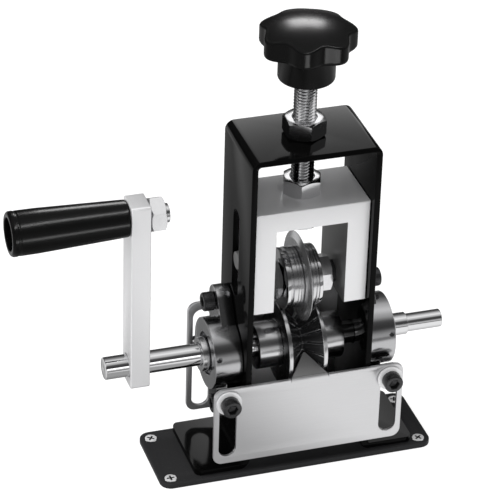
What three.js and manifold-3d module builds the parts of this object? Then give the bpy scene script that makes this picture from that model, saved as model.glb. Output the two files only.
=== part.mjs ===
// Hand crank wire stripper: a strap frame on a base plate, a cranked V-groove feed roller,
// and a round blade in a yoke that an adjusting screw lifts and lowers.
// Millimetres. +Z is up, +X runs along the drive shaft away from the crank,
// and -Y is the front, where the stripped cable comes out.
// The origin is on the underside of the base plate, right under the adjusting screw.
import * as THREE from 'three';
import { mergeVertices } from 'three/addons/utils/BufferGeometryUtils.js';
import Module from 'manifold-3d';

const wasm = await Module();
wasm.setup();

// Fits and roundness
const fitGap = 0.3;
const runningGap = 0.4;
const overrun = 1;
const roundSides = 32;
const ringSides = 24;
const smallSides = 16;
const holeSides = 12;
const quarterTurn = Math.PI / 2;
const halfTurn = Math.PI;

// Base plate, reaching past the frame's feet and flush with the frame's back
const baseEndReach = 15;
const baseFrontReach = 3;
const baseThickness = 3;
const baseCorner = 6;
const baseShiftX = -4.2;
const baseHoleInset = 6;
const baseEdgeBevel = 0.4;

// Strap frame, bent from one flat bar
const strapThickness = 3.2;
const rollerRoom = 0.7;
const frameWidth = 69.5;
const footReach = 26.25;
const nutHeadroom = 21.4;
const topBendRadius = 5;
const footBendRadius = 5;
const footCorner = 4;
const guideSlotGap = 0.35;
const guideSlotBelow = 20.5;
const guideSlotAbove = 30.5;

// Drive shaft and its bearings
const shaftHeight = 64.8;
const shaftRadius = 6;
const shaftLeftReach = 12.6;
const shaftShoulderReach = 11.95;
const drillEndLength = 20;
const drillEndRadius = 4.9;
const shaftChamfer = 1;
const bearingRadius = 14;
const bearingWidth = 8;
const innerRaceWall = 1.5;
const outerRaceWall = 1.4;
const ballCount = 8;
const cageWallShare = 0.43;
const cageWidth = 2.4;
const collarRadius = 9.3;
const collarLength = 7;
const collarBevel = 0.6;
const housingWall = 5.3;
const housingNose = 7;
const housingLugThickness = 8;
const housingLugRadius = 8.5;
const housingBoltGap = 8.3;
const housingTilt = THREE.MathUtils.degToRad(20);
const housingWaistRadius = 14.6;
const housingRecessGap = 2.3;
const housingRecessDepth = 3.6;
const housingEdgeBevel = 0.7;
const oilHoleRadius = 1.6;
const oilHoleDepth = 3;
const oilHoleInset = 2.2;
const oilHoleTilt = THREE.MathUtils.degToRad(20);

// Feed roller
const rollerRadius = 22.8;
const rollerHalfWidth = 10.7;
const rollerRimWidth = 2.3;
const rollerGrooveRadius = 11.5;
const rollerHubRadius = 12.6;
const rollerHalfLength = 23.5;
const rollerEdgeBevel = 0.5;
const toothSlotCount = 20;
const toothSlotWidth = 1.7;
const toothSlotDepth = 1.1;
const toothTurn = THREE.MathUtils.degToRad(12.3);
const setScrewRadius = 2.4;
const setScrewSocket = 2.5;

// Crank
const crankRadius = 89.4;
const armReach = 32.45;
const armThickness = 10.4;
const armWall = 1.7;
const armFootReach = 10.5;
const armHeadReach = 9.2;
const armCorner = 1.6;
const armBevel = 0.6;
const gripLength = 61.6;
const gripInnerRadius = 9.7;
const gripOuterRadius = 11.6;
const gripEdgeRadius = 1.6;
const gripPocketWall = 3;
const gripPocketDepth = 12;
const gripBoltRadius = 5;
const gripBoltHeadGap = 1.2;
const gripBoltHeadLength = 6;
const gripBoltSocket = 8;
const gripBoltTailReach = 2.6;
const gripNutWidth = 17;
const gripNutHeight = 8;

// Blade on its axle
const rollerClearance = 0.9;
const axleRadius = 6;
const axleNutWidth = 18;
const axleNutHeight = 7.6;
const leftNutTurn = THREE.MathUtils.degToRad(-27.6);
const rightNutTurn = THREE.MathUtils.degToRad(7.6);
const bladeReach = 7.7;
const bladeThickness = 3;
const bladeBevelWidth = 3.5;
const bladeEdge = 0.3;
const bladeSides = 48;
const bushWall = 1.9;
const sleeveWall = 2.2;
const clampRadius = 16.3;
const clampGrooveDepth = 1;
const leftBandWidths = [1.2, 1.4, 2.2];
const leftGrooveWidths = [0.3, 0.3, 1.3];
const rightBandWidths = [0.9, 1.4, 1.2];
const rightGrooveWidths = [0.6, 0.6, 0];
const thrustThickness = 1.8;

// Yoke, screw and knob
const yokeDepth = 38;
const yokeTopThickness = 11.3;
const yokeFootWall = 2.3;
const yokeBevel = 0.5;
const windowGap = 0.65;
const windowHeadroom = 16;
const guidePinWall = 3.8;
const guidePinRadius = 4.9;
const guidePinDepthShare = 2 / 3;
const screwRadius = 6;
const screwTail = 1.9;
const screwKnobGap = 6;
const lowerNutHeight = 9;
const lowerNutWidth = 19;
const lowerNutTurn = THREE.MathUtils.degToRad(-19);
const topNutHeight = 9.6;
const topNutWidth = 20;
const retainerRadius = 10.2;
const retainerHeight = 6;
const knobLift = 32.2;
const knobHubRadius = 14.7;
const knobHubHeight = 16.2;
const knobHeadHeight = 9.8;
const knobEdge = 1.1;
const knobFootRound = 2;
const knobRoundSteps = 3;
const knobDomeRise = 6;
const knobDomeShares = [0.85, 0.6, 0.3];
const knobRadius = 25.3;
const knobWave = 3.7;
const knobLobes = 7;
const knobTurn = THREE.MathUtils.degToRad(-112.4);
const knobSteps = 56;

// Guide plates, and the tongue bent out of the front one
const plateThickness = 2;
const plateCorner = 5;
const plateSlotWidth = 9.5;
const plateScrewReach = 10.05;
const plateScrewRise = 3.9;
const plateEndReach = 7.7;
const frontPlateRise = 7.8;
const frontPlateLift = 7.5;
const frontSlotMargin = 4.5;
const backPlateRise = 31.5;
const backPlateLift = 9.4;
const backSlotMargin = 2.6;
const backSlotTopMargin = 4.5;
const tongueTurn = THREE.MathUtils.degToRad(54);
const tongueBendRadius = 3.5;
const tongueDrop = 1.3;
const tongueRoot = 5;
const tongueReach = 12.3;
const tongueTipHalf = 0.5;
const tongueSlopeShare = 1.17;
const lugDepth = 4.6;
const lugHalfHeight = 4.5;
const washerRadius = 7;
const washerThickness = 1.2;

// M6 socket head screws and the base screws
const capScrewRadius = 3;
const capHeadRadius = 5.1;
const capHeadHeight = 6;
const capSocketWidth = 5;
const capSocketDepth = 3.2;
const capBevel = 0.5;
const baseScrewHeadRadius = 3.2;
const baseScrewShankRadius = 1.6;
const baseScrewHeadHeight = 1.6;
const crossWidth = 0.8;
const crossReach = 1.9;
const crossDepth = 0.9;

function total(widths) {
  return widths.reduce((sum, width) => sum + width, 0);
}

// Across the machine: the frame's walls, and what stands off them
const wallOuter = frameWidth / 2;
const wallInner = wallOuter - strapThickness;
const footHalfSpan = wallOuter + footReach;
const baseLength = 2 * (footHalfSpan + baseEndReach);
const housingRadius = bearingRadius + housingWall;
const housingBoltReach = housingRadius + housingBoltGap;
const housingLength = bearingWidth + housingNose;
const housingFace = wallOuter + fitGap;
const housingEnd = housingFace + housingLength;
const lugFace = housingFace + housingLugThickness;
const bearingFace = housingFace + fitGap;
const bearingEnd = bearingFace + bearingWidth;
const shaftShoulder = housingEnd + shaftShoulderReach;
const shaftRightEnd = shaftShoulder + drillEndLength;
const armInnerFace = housingEnd + armReach;
const armOuterFace = armInnerFace + armThickness;
const shaftLeftEnd = armOuterFace + shaftLeftReach;
const gripStart = armOuterFace + runningGap;
const gripEnd = gripStart + gripLength;
const gripNutFace = armInnerFace - fitGap;
const gripBoltTail = gripNutFace - gripNutHeight - gripBoltTailReach;
const plateScrewX = wallOuter + plateScrewReach;
const plateHalfWidth = plateScrewX + plateEndReach;
const lugOuter = plateScrewX + lugHalfHeight;

// Radii that fit over or into one another
const shaftBore = shaftRadius + fitGap;
const armWidth = 2 * (shaftBore + armWall);
const innerRaceRadius = shaftBore + innerRaceWall;
const outerRaceBore = bearingRadius - outerRaceWall;
const ballOrbit = (innerRaceRadius + outerRaceBore) / 2;
const ballRadius = (outerRaceBore - innerRaceRadius) / 2 - fitGap;
const cageWall = cageWallShare * ballRadius;
const housingRecessRadius = collarRadius + housingRecessGap;
const gripPocketRadius = gripOuterRadius - gripPocketWall;
const gripBoltHeadRadius = gripPocketRadius - gripBoltHeadGap;
const bushRadius = axleRadius + fitGap + bushWall;
const bladeBoreRadius = bushRadius + 2 * fitGap + sleeveWall;
const bladeRadius = clampRadius + bladeReach;
const knobValleyRadius = knobRadius - knobWave;

// The blade's stack, the yoke's window round it and the yoke between the walls
const clampFace = bladeThickness / 2 + fitGap;
const leftClampEnd = clampFace + total(leftBandWidths) + total(leftGrooveWidths);
const rightClampEnd = clampFace + total(rightBandWidths) + total(rightGrooveWidths);
const windowHalf = leftClampEnd + 2 * fitGap + thrustThickness + axleNutHeight + windowGap;
const yokeHalf = wallInner - runningGap;
const guidePinDepth = guidePinDepthShare * (yokeHalf - windowHalf);
const guidePinEnd = wallOuter - fitGap;

// Front to back
const strapHalf = rollerRadius + rollerRoom;
const baseWidth = 2 * strapHalf + baseFrontReach;
const baseShiftY = -baseFrontReach / 2;
const plateFace = strapHalf + fitGap;
const frontOuter = -plateFace - plateThickness;
const backOuter = plateFace + plateThickness;
const washerFace = plateFace + plateThickness + fitGap;
const capFace = washerFace + washerThickness + fitGap;
const lugEnd = strapHalf - lugDepth;

// Heights, all worked up from the shaft
const strapFoot = baseThickness + fitGap;
const footTop = strapFoot + strapThickness;
const boltReachY = housingBoltReach * Math.sin(housingTilt);
const boltReachZ = housingBoltReach * Math.cos(housingTilt);
const plateScrewZ = shaftHeight - housingRadius + plateScrewRise;
const frontPlateLow = baseThickness + frontPlateLift;
const frontPlateHigh = plateScrewZ + frontPlateRise;
const frontSlotLow = frontPlateLow + frontSlotMargin;
const frontSlotHigh = plateScrewZ + plateSlotWidth / 2;
const backPlateLow = baseThickness + backPlateLift;
const backPlateHigh = plateScrewZ + backPlateRise;
const backSlotLow = backPlateLow + backSlotMargin;
const backSlotHigh = backPlateHigh - backSlotTopMargin;
const tongueFoot = frontPlateHigh - tongueDrop;
const axleHeight = shaftHeight + rollerRadius + rollerClearance + clampRadius;
const windowTop = axleHeight + bladeRadius + windowHeadroom;
const yokeTopHeight = windowTop + yokeTopThickness;
const yokeFootHeight = axleHeight - axleRadius - yokeFootWall;
const guidePinHeight = axleHeight + axleRadius + guidePinWall + guidePinRadius;
const guideSlotLow = guidePinHeight - guideSlotBelow;
const guideSlotHigh = guidePinHeight + guideSlotAbove;
const retainerFoot = windowTop - fitGap - retainerHeight;
const screwFoot = retainerFoot - screwTail;
const lowerNutFoot = yokeTopHeight + fitGap;
const frameCeiling = lowerNutFoot + lowerNutHeight + nutHeadroom;
const frameTop = frameCeiling + strapThickness;
const knobFoot = frameTop + knobLift;
const knobHeadFoot = knobFoot + knobHubHeight;
const knobRim = knobHeadFoot + knobHeadHeight;
const screwTop = knobHeadFoot - screwKnobGap;

// The roller's groove, from its middle out to its rim
const grooveHalf = rollerHalfWidth - rollerRimWidth;
const grooveSlope = grooveHalf / (rollerRadius - rollerGrooveRadius);

// Materials
function finish(color, roughness, metalness) {
  return new THREE.MeshStandardMaterial({ color, roughness, metalness });
}
const blackPaint = finish(0x17181a, 0.25, 0.1);
const whitePaint = finish(0xe6e7e8, 0.45, 0.1);
const brightSteel = finish(0xc9cbce, 0.18, 1);
const darkSteel = finish(0x85878b, 0.3, 1);
const blackOxide = finish(0x2a2b2d, 0.4, 0.8);
const zinc = finish(0xb9bcc0, 0.3, 1);
const brushedPlate = finish(0xc4c6c9, 0.4, 1);
const glossPlastic = finish(0x0d0d0f, 0.15, 0);
const satinPlastic = finish(0x131315, 0.4, 0);
const whiteZinc = finish(0xeceded, 0.35, 0.4);
const bronze = finish(0xa9814a, 0.4, 1);

// Closed meshes to solids and back
function toSolid(geometry) {
  const bare = geometry.clone();
  bare.deleteAttribute('normal');
  bare.deleteAttribute('uv');
  const merged = mergeVertices(bare);
  return new wasm.Manifold(new wasm.Mesh({
    numProp: 3,
    vertProperties: new Float32Array(merged.attributes.position.array),
    triVerts: new Uint32Array(merged.index.array),
  }));
}

function toGeometry(solid) {
  const raw = solid.getMesh();
  const geometry = new THREE.BufferGeometry();
  geometry.setAttribute('position', new THREE.BufferAttribute(new Float32Array(raw.vertProperties), 3));
  geometry.setIndex(new THREE.BufferAttribute(new Uint32Array(raw.triVerts), 1));
  geometry.computeVertexNormals();
  return geometry;
}

function cut(geometry, ...tools) {
  let solid = toSolid(geometry);
  for (const tool of tools) {
    solid = solid.subtract(toSolid(tool));
  }
  return toGeometry(solid);
}

function join(geometry, ...others) {
  let solid = toSolid(geometry);
  for (const other of others) {
    solid = solid.add(toSolid(other));
  }
  return toGeometry(solid);
}

function common(geometry, other) {
  return toGeometry(toSolid(geometry).intersect(toSolid(other)));
}

// Basic shapes, placed by where they start and end
function rodX(radius, from, to, sides = smallSides) {
  const rod = new THREE.CylinderGeometry(radius, radius, to - from, sides);
  rod.rotateZ(quarterTurn);
  rod.translate((from + to) / 2, 0, 0);
  return rod;
}

function rodY(radius, from, to, sides = smallSides) {
  const rod = new THREE.CylinderGeometry(radius, radius, to - from, sides);
  rod.translate(0, (from + to) / 2, 0);
  return rod;
}

function rodZ(radius, from, to, sides = smallSides) {
  const rod = new THREE.CylinderGeometry(radius, radius, to - from, sides);
  rod.rotateX(quarterTurn);
  rod.translate(0, 0, (from + to) / 2);
  return rod;
}

function block(x0, x1, y0, y1, z0, z1) {
  const box = new THREE.BoxGeometry(x1 - x0, y1 - y0, z1 - z0);
  box.translate((x0 + x1) / 2, (y0 + y1) / 2, (z0 + z1) / 2);
  return box;
}

// A turned piece along +X from a profile of [radius, x] points
function turnedX(profile, sides = roundSides) {
  const points = profile.map(([radius, x]) => new THREE.Vector2(radius, x));
  const lathe = new THREE.LatheGeometry(points, sides);
  lathe.rotateZ(-quarterTurn);
  return lathe;
}

// The same along +Z
function turnedZ(profile, sides = roundSides) {
  const points = profile.map(([radius, z]) => new THREE.Vector2(radius, z));
  const lathe = new THREE.LatheGeometry(points, sides);
  lathe.rotateX(quarterTurn);
  return lathe;
}

// A turned ring along +X
function ringX(bore, radius, from, to, sides = roundSides) {
  return turnedX([
    [bore, from],
    [radius, from],
    [radius, to],
    [bore, to],
    [bore, from],
  ], sides);
}

// The same with its outer edges broken
function bevelledRingX(bore, radius, from, to, bevel, sides = roundSides) {
  return turnedX([
    [bore, from],
    [radius - bevel, from],
    [radius, from + bevel],
    [radius, to - bevel],
    [radius - bevel, to],
    [bore, to],
    [bore, from],
  ], sides);
}

function roundedRect(x0, x1, y0, y1, radius) {
  const shape = new THREE.Shape();
  shape.moveTo(x0 + radius, y0);
  shape.lineTo(x1 - radius, y0);
  shape.absarc(x1 - radius, y0 + radius, radius, -quarterTurn, 0, false);
  shape.lineTo(x1, y1 - radius);
  shape.absarc(x1 - radius, y1 - radius, radius, 0, quarterTurn, false);
  shape.lineTo(x0 + radius, y1);
  shape.absarc(x0 + radius, y1 - radius, radius, quarterTurn, halfTurn, false);
  shape.lineTo(x0, y0 + radius);
  shape.absarc(x0 + radius, y0 + radius, radius, halfTurn, halfTurn + quarterTurn, false);
  return shape;
}

// An upright slot with round ends, as a path in a plate's own plane
function slotPath(x, low, high, width) {
  const radius = width / 2;
  const slot = new THREE.Path();
  slot.moveTo(x + radius, low + radius);
  slot.lineTo(x + radius, high - radius);
  slot.absarc(x, high - radius, radius, 0, halfTurn, false);
  slot.lineTo(x - radius, low + radius);
  slot.absarc(x, low + radius, radius, halfTurn, 2 * halfTurn, false);
  return slot;
}

function extrude(shape, depth, curveSegments = 6) {
  return new THREE.ExtrudeGeometry(shape, { depth, bevelEnabled: false, curveSegments });
}

// A shape drawn in X and Z, as thick as from y0 to y1
function slabY(shape, y0, y1, curveSegments = 6) {
  const slab = extrude(shape, y1 - y0, curveSegments);
  slab.rotateX(quarterTurn);
  slab.translate(0, y1, 0);
  return slab;
}

function hexShape(acrossFlats, turn = 0) {
  const corner = acrossFlats / Math.sqrt(3);
  const shape = new THREE.Shape();
  for (let i = 0; i < 6; i += 1) {
    const angle = turn + i * halfTurn / 3;
    const x = corner * Math.cos(angle);
    const y = corner * Math.sin(angle);
    if (i === 0) {
      shape.moveTo(x, y);
    } else {
      shape.lineTo(x, y);
    }
  }
  return shape;
}

function hexPrismZ(acrossFlats, from, to, turn = 0) {
  const prism = extrude(hexShape(acrossFlats, turn), to - from);
  prism.translate(0, 0, from);
  return prism;
}

// A hex nut standing on z = 0, its corners cut to a cone top and bottom
function nutZ(acrossFlats, height, boreRadius, turn = 0) {
  const corner = acrossFlats / Math.sqrt(3);
  const land = acrossFlats / 2;
  const drop = (corner - land) / 2;
  const envelope = turnedZ([
    [0, 0],
    [land, 0],
    [corner, drop],
    [corner, height - drop],
    [land, height],
    [0, height],
  ], ringSides);
  const body = common(hexPrismZ(acrossFlats, 0, height, turn), envelope);
  return cut(body, rodZ(boreRadius, -overrun, height + overrun));
}

// An M6 socket head screw along +Z: the head's underside is at z = 0, the shank runs down
function capScrewZ(length) {
  const head = turnedZ([
    [0, 0],
    [capHeadRadius, 0],
    [capHeadRadius, capHeadHeight - capBevel],
    [capHeadRadius - capBevel, capHeadHeight],
    [0, capHeadHeight],
  ], smallSides);
  const body = join(head, rodZ(capScrewRadius, -length, fitGap));
  return cut(body, hexPrismZ(capSocketWidth, capHeadHeight - capSocketDepth, capHeadHeight + overrun));
}

// A headless set screw along +Z from its point at z = 0
function setScrewZ(radius, length, socketWidth) {
  return cut(
    rodZ(radius, 0, length),
    hexPrismZ(socketWidth, length / 2, length + overrun),
  );
}

const machine = new THREE.Group();

function add(name, geometry, material, parent = machine) {
  const mesh = new THREE.Mesh(geometry, material);
  mesh.name = name;
  parent.add(mesh);
  return mesh;
}

const sides = [['left', -1], ['right', 1]];

// Base plate with four countersunk holes
function basePlate() {
  const halfLength = baseLength / 2;
  const halfWidth = baseWidth / 2;
  const outline = roundedRect(-halfLength, halfLength, -halfWidth, halfWidth, baseCorner);
  const bare = new THREE.ExtrudeGeometry(outline, {
    depth: baseThickness - 2 * baseEdgeBevel,
    bevelThickness: baseEdgeBevel,
    bevelSize: baseEdgeBevel,
    bevelOffset: -baseEdgeBevel,
    bevelSegments: 1,
    curveSegments: 6,
  });
  bare.translate(0, 0, baseEdgeBevel);
  const holes = baseHolePlaces().map(([x, y]) => {
    const hole = baseScrewHole();
    hole.translate(x, y, 0);
    return hole;
  });
  const plate = cut(bare, ...holes);
  plate.translate(baseShiftX, baseShiftY, 0);
  return plate;
}

function baseHolePlaces() {
  const x = baseLength / 2 - baseHoleInset;
  const y = baseWidth / 2 - baseHoleInset;
  return [[-x, y], [-x, -y], [x, -y], [x, y]];
}

// The countersunk hole, run past both of the plate's faces
function baseScrewHole() {
  const shank = baseScrewShankRadius + fitGap;
  const head = baseScrewHeadRadius + fitGap;
  return turnedZ([
    [0, -overrun],
    [shank, -overrun],
    [shank, baseThickness - baseScrewHeadHeight],
    [head, baseThickness],
    [head, baseThickness + overrun],
    [0, baseThickness + overrun],
  ], smallSides);
}

function baseScrew() {
  const low = baseThickness - crossDepth;
  const high = baseThickness + overrun;
  const body = turnedZ([
    [0, fitGap],
    [baseScrewShankRadius, fitGap],
    [baseScrewShankRadius, baseThickness - baseScrewHeadHeight],
    [baseScrewHeadRadius, baseThickness],
    [0, baseThickness],
  ], smallSides);
  return cut(
    body,
    block(-crossReach, crossReach, -crossWidth / 2, crossWidth / 2, low, high),
    block(-crossWidth / 2, crossWidth / 2, -crossReach, crossReach, low, high),
  );
}

add('base_plate', basePlate(), blackPaint);
baseHolePlaces().forEach(([x, y], i) => {
  const screw = add(`base_screw_${i + 1}`, baseScrew(), whiteZinc);
  screw.position.set(x + baseShiftX, y + baseShiftY, 0);
});

// The bent strap's edge, drawn in X and Z from the left foot over the top to the right foot
function strapOutline() {
  const inTop = topBendRadius - strapThickness;
  const inFoot = footBendRadius - strapThickness;
  const footBendX = wallInner + footBendRadius;
  const footBendZ = strapFoot + footBendRadius;
  const topBendX = wallOuter - topBendRadius;
  const topBendZ = frameTop - topBendRadius;
  const shape = new THREE.Shape();
  shape.moveTo(-footHalfSpan, strapFoot);
  shape.lineTo(-footBendX, strapFoot);
  shape.absarc(-footBendX, footBendZ, footBendRadius, -quarterTurn, 0, false);
  shape.lineTo(-wallInner, topBendZ);
  shape.absarc(-topBendX, topBendZ, inTop, halfTurn, quarterTurn, true);
  shape.lineTo(topBendX, frameCeiling);
  shape.absarc(topBendX, topBendZ, inTop, quarterTurn, 0, true);
  shape.lineTo(wallInner, footBendZ);
  shape.absarc(footBendX, footBendZ, footBendRadius, halfTurn, 3 * quarterTurn, false);
  shape.lineTo(footHalfSpan, strapFoot);
  shape.lineTo(footHalfSpan, footTop);
  shape.lineTo(footBendX, footTop);
  shape.absarc(footBendX, footBendZ, inFoot, 3 * quarterTurn, halfTurn, true);
  shape.lineTo(wallOuter, topBendZ);
  shape.absarc(topBendX, topBendZ, topBendRadius, 0, quarterTurn, false);
  shape.lineTo(-topBendX, frameTop);
  shape.absarc(-topBendX, topBendZ, topBendRadius, quarterTurn, halfTurn, false);
  shape.lineTo(-wallOuter, footBendZ);
  shape.absarc(-footBendX, footBendZ, inFoot, 0, -quarterTurn, true);
  shape.lineTo(-footHalfSpan, footTop);
  return shape;
}

function frameStrap() {
  const strap = slabY(strapOutline(), -strapHalf, strapHalf);
  const outline = roundedRect(-footHalfSpan, footHalfSpan, -strapHalf, strapHalf, footCorner);
  const plan = extrude(outline, frameTop + 2 * overrun);
  plan.translate(0, 0, -overrun);
  const tools = [rodZ(screwRadius + 2 * fitGap, frameCeiling - overrun, frameTop + overrun)];
  for (const [, side] of sides) {
    const from = Math.min(side * (wallInner - overrun), side * (wallOuter + overrun));
    const to = Math.max(side * (wallInner - overrun), side * (wallOuter + overrun));
    const shaftHole = rodX(shaftBore + fitGap, from, to);
    shaftHole.translate(0, 0, shaftHeight);
    tools.push(shaftHole);
    const slot = extrude(upSlot(), to - from);
    slot.rotateX(quarterTurn);
    slot.rotateZ(quarterTurn);
    slot.translate(from, 0, 0);
    tools.push(slot);
    for (const up of [1, -1]) {
      const hole = rodX(capScrewRadius + fitGap, from, to);
      hole.translate(0, up * boltReachY, shaftHeight + up * boltReachZ);
      tools.push(hole);
    }
  }
  return cut(common(strap, plan), ...tools);
}

function upSlot() {
  const path = slotPath(0, guideSlotLow, guideSlotHigh, 2 * (guidePinRadius + guideSlotGap));
  return new THREE.Shape(path.getPoints(6));
}

add('frame_strap', frameStrap(), blackPaint);

const topNut = add('top_nut', nutZ(topNutWidth, topNutHeight, screwRadius + fitGap, quarterTurn), zinc);
topNut.position.z = frameTop + fitGap;

// Two-bolt bearing housing: a turned barrel with a tilted two-eared flange, its face at x = 0
function bearingHousing() {
  const ears = new THREE.Shape();
  const lean = Math.asin((housingWaistRadius - housingLugRadius) / housingBoltReach);
  ears.absarc(0, housingBoltReach, housingLugRadius, lean, halfTurn - lean, false);
  ears.absarc(0, 0, housingWaistRadius, halfTurn - lean, halfTurn + lean, false);
  ears.absarc(0, -housingBoltReach, housingLugRadius, halfTurn + lean, 2 * halfTurn - lean, false);
  ears.absarc(0, 0, housingWaistRadius, -lean, lean, false);
  const flange = extrude(ears, housingLugThickness, 8);
  flange.rotateX(quarterTurn);
  flange.rotateZ(quarterTurn);
  const barrel = turnedX([
    [0, 0],
    [housingRadius, 0],
    [housingRadius, housingLength - housingEdgeBevel],
    [housingRadius - housingEdgeBevel, housingLength],
    [0, housingLength],
  ], roundSides);
  const upper = rodX(capScrewRadius + fitGap, -overrun, housingLugThickness + overrun);
  upper.translate(0, 0, housingBoltReach);
  const lower = upper.clone();
  lower.translate(0, 0, -2 * housingBoltReach);
  const seat = rodX(bearingRadius + fitGap, -overrun, bearingWidth + 2 * fitGap, roundSides);
  const through = rodX(shaftBore + fitGap, 0, housingLength + overrun, roundSides);
  const recessFloor = housingLength - housingRecessDepth;
  const recess = rodX(housingRecessRadius, recessFloor, housingLength + overrun, roundSides);
  const oilFloor = oilHoleDepth - housingRadius;
  const oilHole = rodY(oilHoleRadius, -housingRadius - overrun, oilFloor, holeSides);
  oilHole.translate(housingLength - oilHoleInset, 0, 0);
  oilHole.rotateX(housingTilt - oilHoleTilt);
  return cut(join(barrel, flange), upper, lower, seat, through, recess, oilHole);
}

// Mirrors a piece built for the right side over to the left, and turns its faces out again
function mirrored(geometry) {
  const copy = mergeVertices(geometry.clone());
  copy.scale(-1, 1, 1);
  const index = copy.index.array;
  for (let i = 0; i < index.length; i += 3) {
    const first = index[i];
    index[i] = index[i + 2];
    index[i + 2] = first;
  }
  return copy;
}

function onSide(geometry, side) {
  return side > 0 ? geometry : mirrored(geometry);
}

function ballCage() {
  const middle = bearingFace + bearingWidth / 2;
  const from = middle - cageWidth / 2;
  const to = middle + cageWidth / 2;
  let cage = ringX(ballOrbit - cageWall, ballOrbit + cageWall, from, to, smallSides);
  for (let i = 0; i < ballCount; i += 1) {
    const angle = i * 2 * halfTurn / ballCount;
    const ball = new THREE.IcosahedronGeometry(ballRadius, 0);
    ball.translate(middle, ballOrbit * Math.cos(angle), ballOrbit * Math.sin(angle));
    cage = join(cage, ball);
  }
  return cage;
}

for (const [word, side] of sides) {
  const housing = bearingHousing();
  housing.rotateX(-housingTilt);
  housing.translate(housingFace, 0, 0);
  add(`bearing_housing_${word}`, onSide(housing, side), darkSteel).position.z = shaftHeight;

  const outerRing = ringX(outerRaceBore, bearingRadius, bearingFace, bearingEnd, ringSides);
  add(`bearing_outer_ring_${word}`, onSide(outerRing, side), brightSteel).position.z = shaftHeight;

  const innerRing = ringX(shaftBore, innerRaceRadius, bearingFace, bearingEnd, ringSides);
  add(`bearing_inner_ring_${word}`, onSide(innerRing, side), brightSteel).position.z = shaftHeight;

  add(`ball_cage_${word}`, onSide(ballCage(), side), brightSteel).position.z = shaftHeight;

  const collarStart = housingEnd - housingRecessDepth + fitGap;
  const collarEnd = collarStart + collarLength;
  const collar = bevelledRingX(shaftBore, collarRadius, collarStart, collarEnd, collarBevel, ringSides);
  add(`shaft_collar_${word}`, onSide(collar, side), darkSteel).position.z = shaftHeight;

  for (const [end, up] of [['upper', 1], ['lower', -1]]) {
    const bolt = capScrewZ(lugFace - wallInner);
    bolt.rotateY(side * quarterTurn);
    const mesh = add(`housing_bolt_${word}_${end}`, bolt, blackOxide);
    mesh.position.set(
      side * (lugFace + fitGap),
      up * boltReachY,
      shaftHeight + up * boltReachZ,
    );
  }
}

// Guide plates in front and behind, with a slot at each end to slide on its screws
function guidePlate(low, high, slotLow, slotHigh, inner, outer) {
  const shape = roundedRect(-plateHalfWidth, plateHalfWidth, low, high, plateCorner);
  for (const [, side] of sides) {
    shape.holes.push(slotPath(side * plateScrewX, slotLow, slotHigh, plateSlotWidth));
  }
  return slabY(shape, Math.min(inner, outer), Math.max(inner, outer));
}

// The tongue's side view, drawn in Y and Z: up the plate, round the bend and on into the groove
function tongueStrip() {
  const bendY = frontOuter + tongueBendRadius;
  const innerRadius = tongueBendRadius - plateThickness;
  const bendEnd = halfTurn - tongueTurn;
  const alongY = tongueReach * Math.sin(tongueTurn);
  const alongZ = tongueReach * Math.cos(tongueTurn);
  const onBend = (radius) => [
    bendY + radius * Math.cos(bendEnd),
    tongueFoot + radius * Math.sin(bendEnd),
  ];
  const outer = onBend(tongueBendRadius);
  const inner = onBend(innerRadius);
  const strip = new THREE.Shape();
  strip.moveTo(frontOuter, tongueFoot - tongueRoot);
  strip.lineTo(frontOuter, tongueFoot);
  strip.absarc(bendY, tongueFoot, tongueBendRadius, halfTurn, bendEnd, true);
  strip.lineTo(outer[0] + alongY, outer[1] + alongZ);
  strip.lineTo(inner[0] + alongY, inner[1] + alongZ);
  strip.absarc(bendY, tongueFoot, innerRadius, bendEnd, halfTurn, false);
  strip.lineTo(-plateFace, tongueFoot - tongueRoot);
  return { strip, tipY: outer[0] + alongY };
}

function tongue() {
  const { strip, tipY } = tongueStrip();
  const slope = tongueSlopeShare * grooveSlope;
  const half = tongueTipHalf + slope * (tipY - frontOuter);
  const bar = extrude(strip, 2 * half);
  bar.rotateX(quarterTurn);
  bar.rotateZ(quarterTurn);
  bar.translate(-half, 0, 0);
  const point = new THREE.Shape();
  point.moveTo(-half, frontOuter);
  point.lineTo(half, frontOuter);
  point.lineTo(0, tipY + tongueTipHalf / slope);
  const wedge = extrude(point, frameTop);
  return { body: common(bar, wedge), half };
}

function frontGuidePlate() {
  const { body, half } = tongue();
  const plate = guidePlate(
    frontPlateLow, frontPlateHigh, frontSlotLow, frontSlotHigh, -plateFace, frontOuter);
  const notch = block(-half, half, frontOuter - overrun, overrun - plateFace, tongueFoot, frameTop);
  return join(cut(plate, notch), body);
}

add('front_guide_plate', frontGuidePlate(), brushedPlate);
add('back_guide_plate',
  guidePlate(backPlateLow, backPlateHigh, backSlotLow, backSlotHigh, plateFace, backOuter), brushedPlate);

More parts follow.
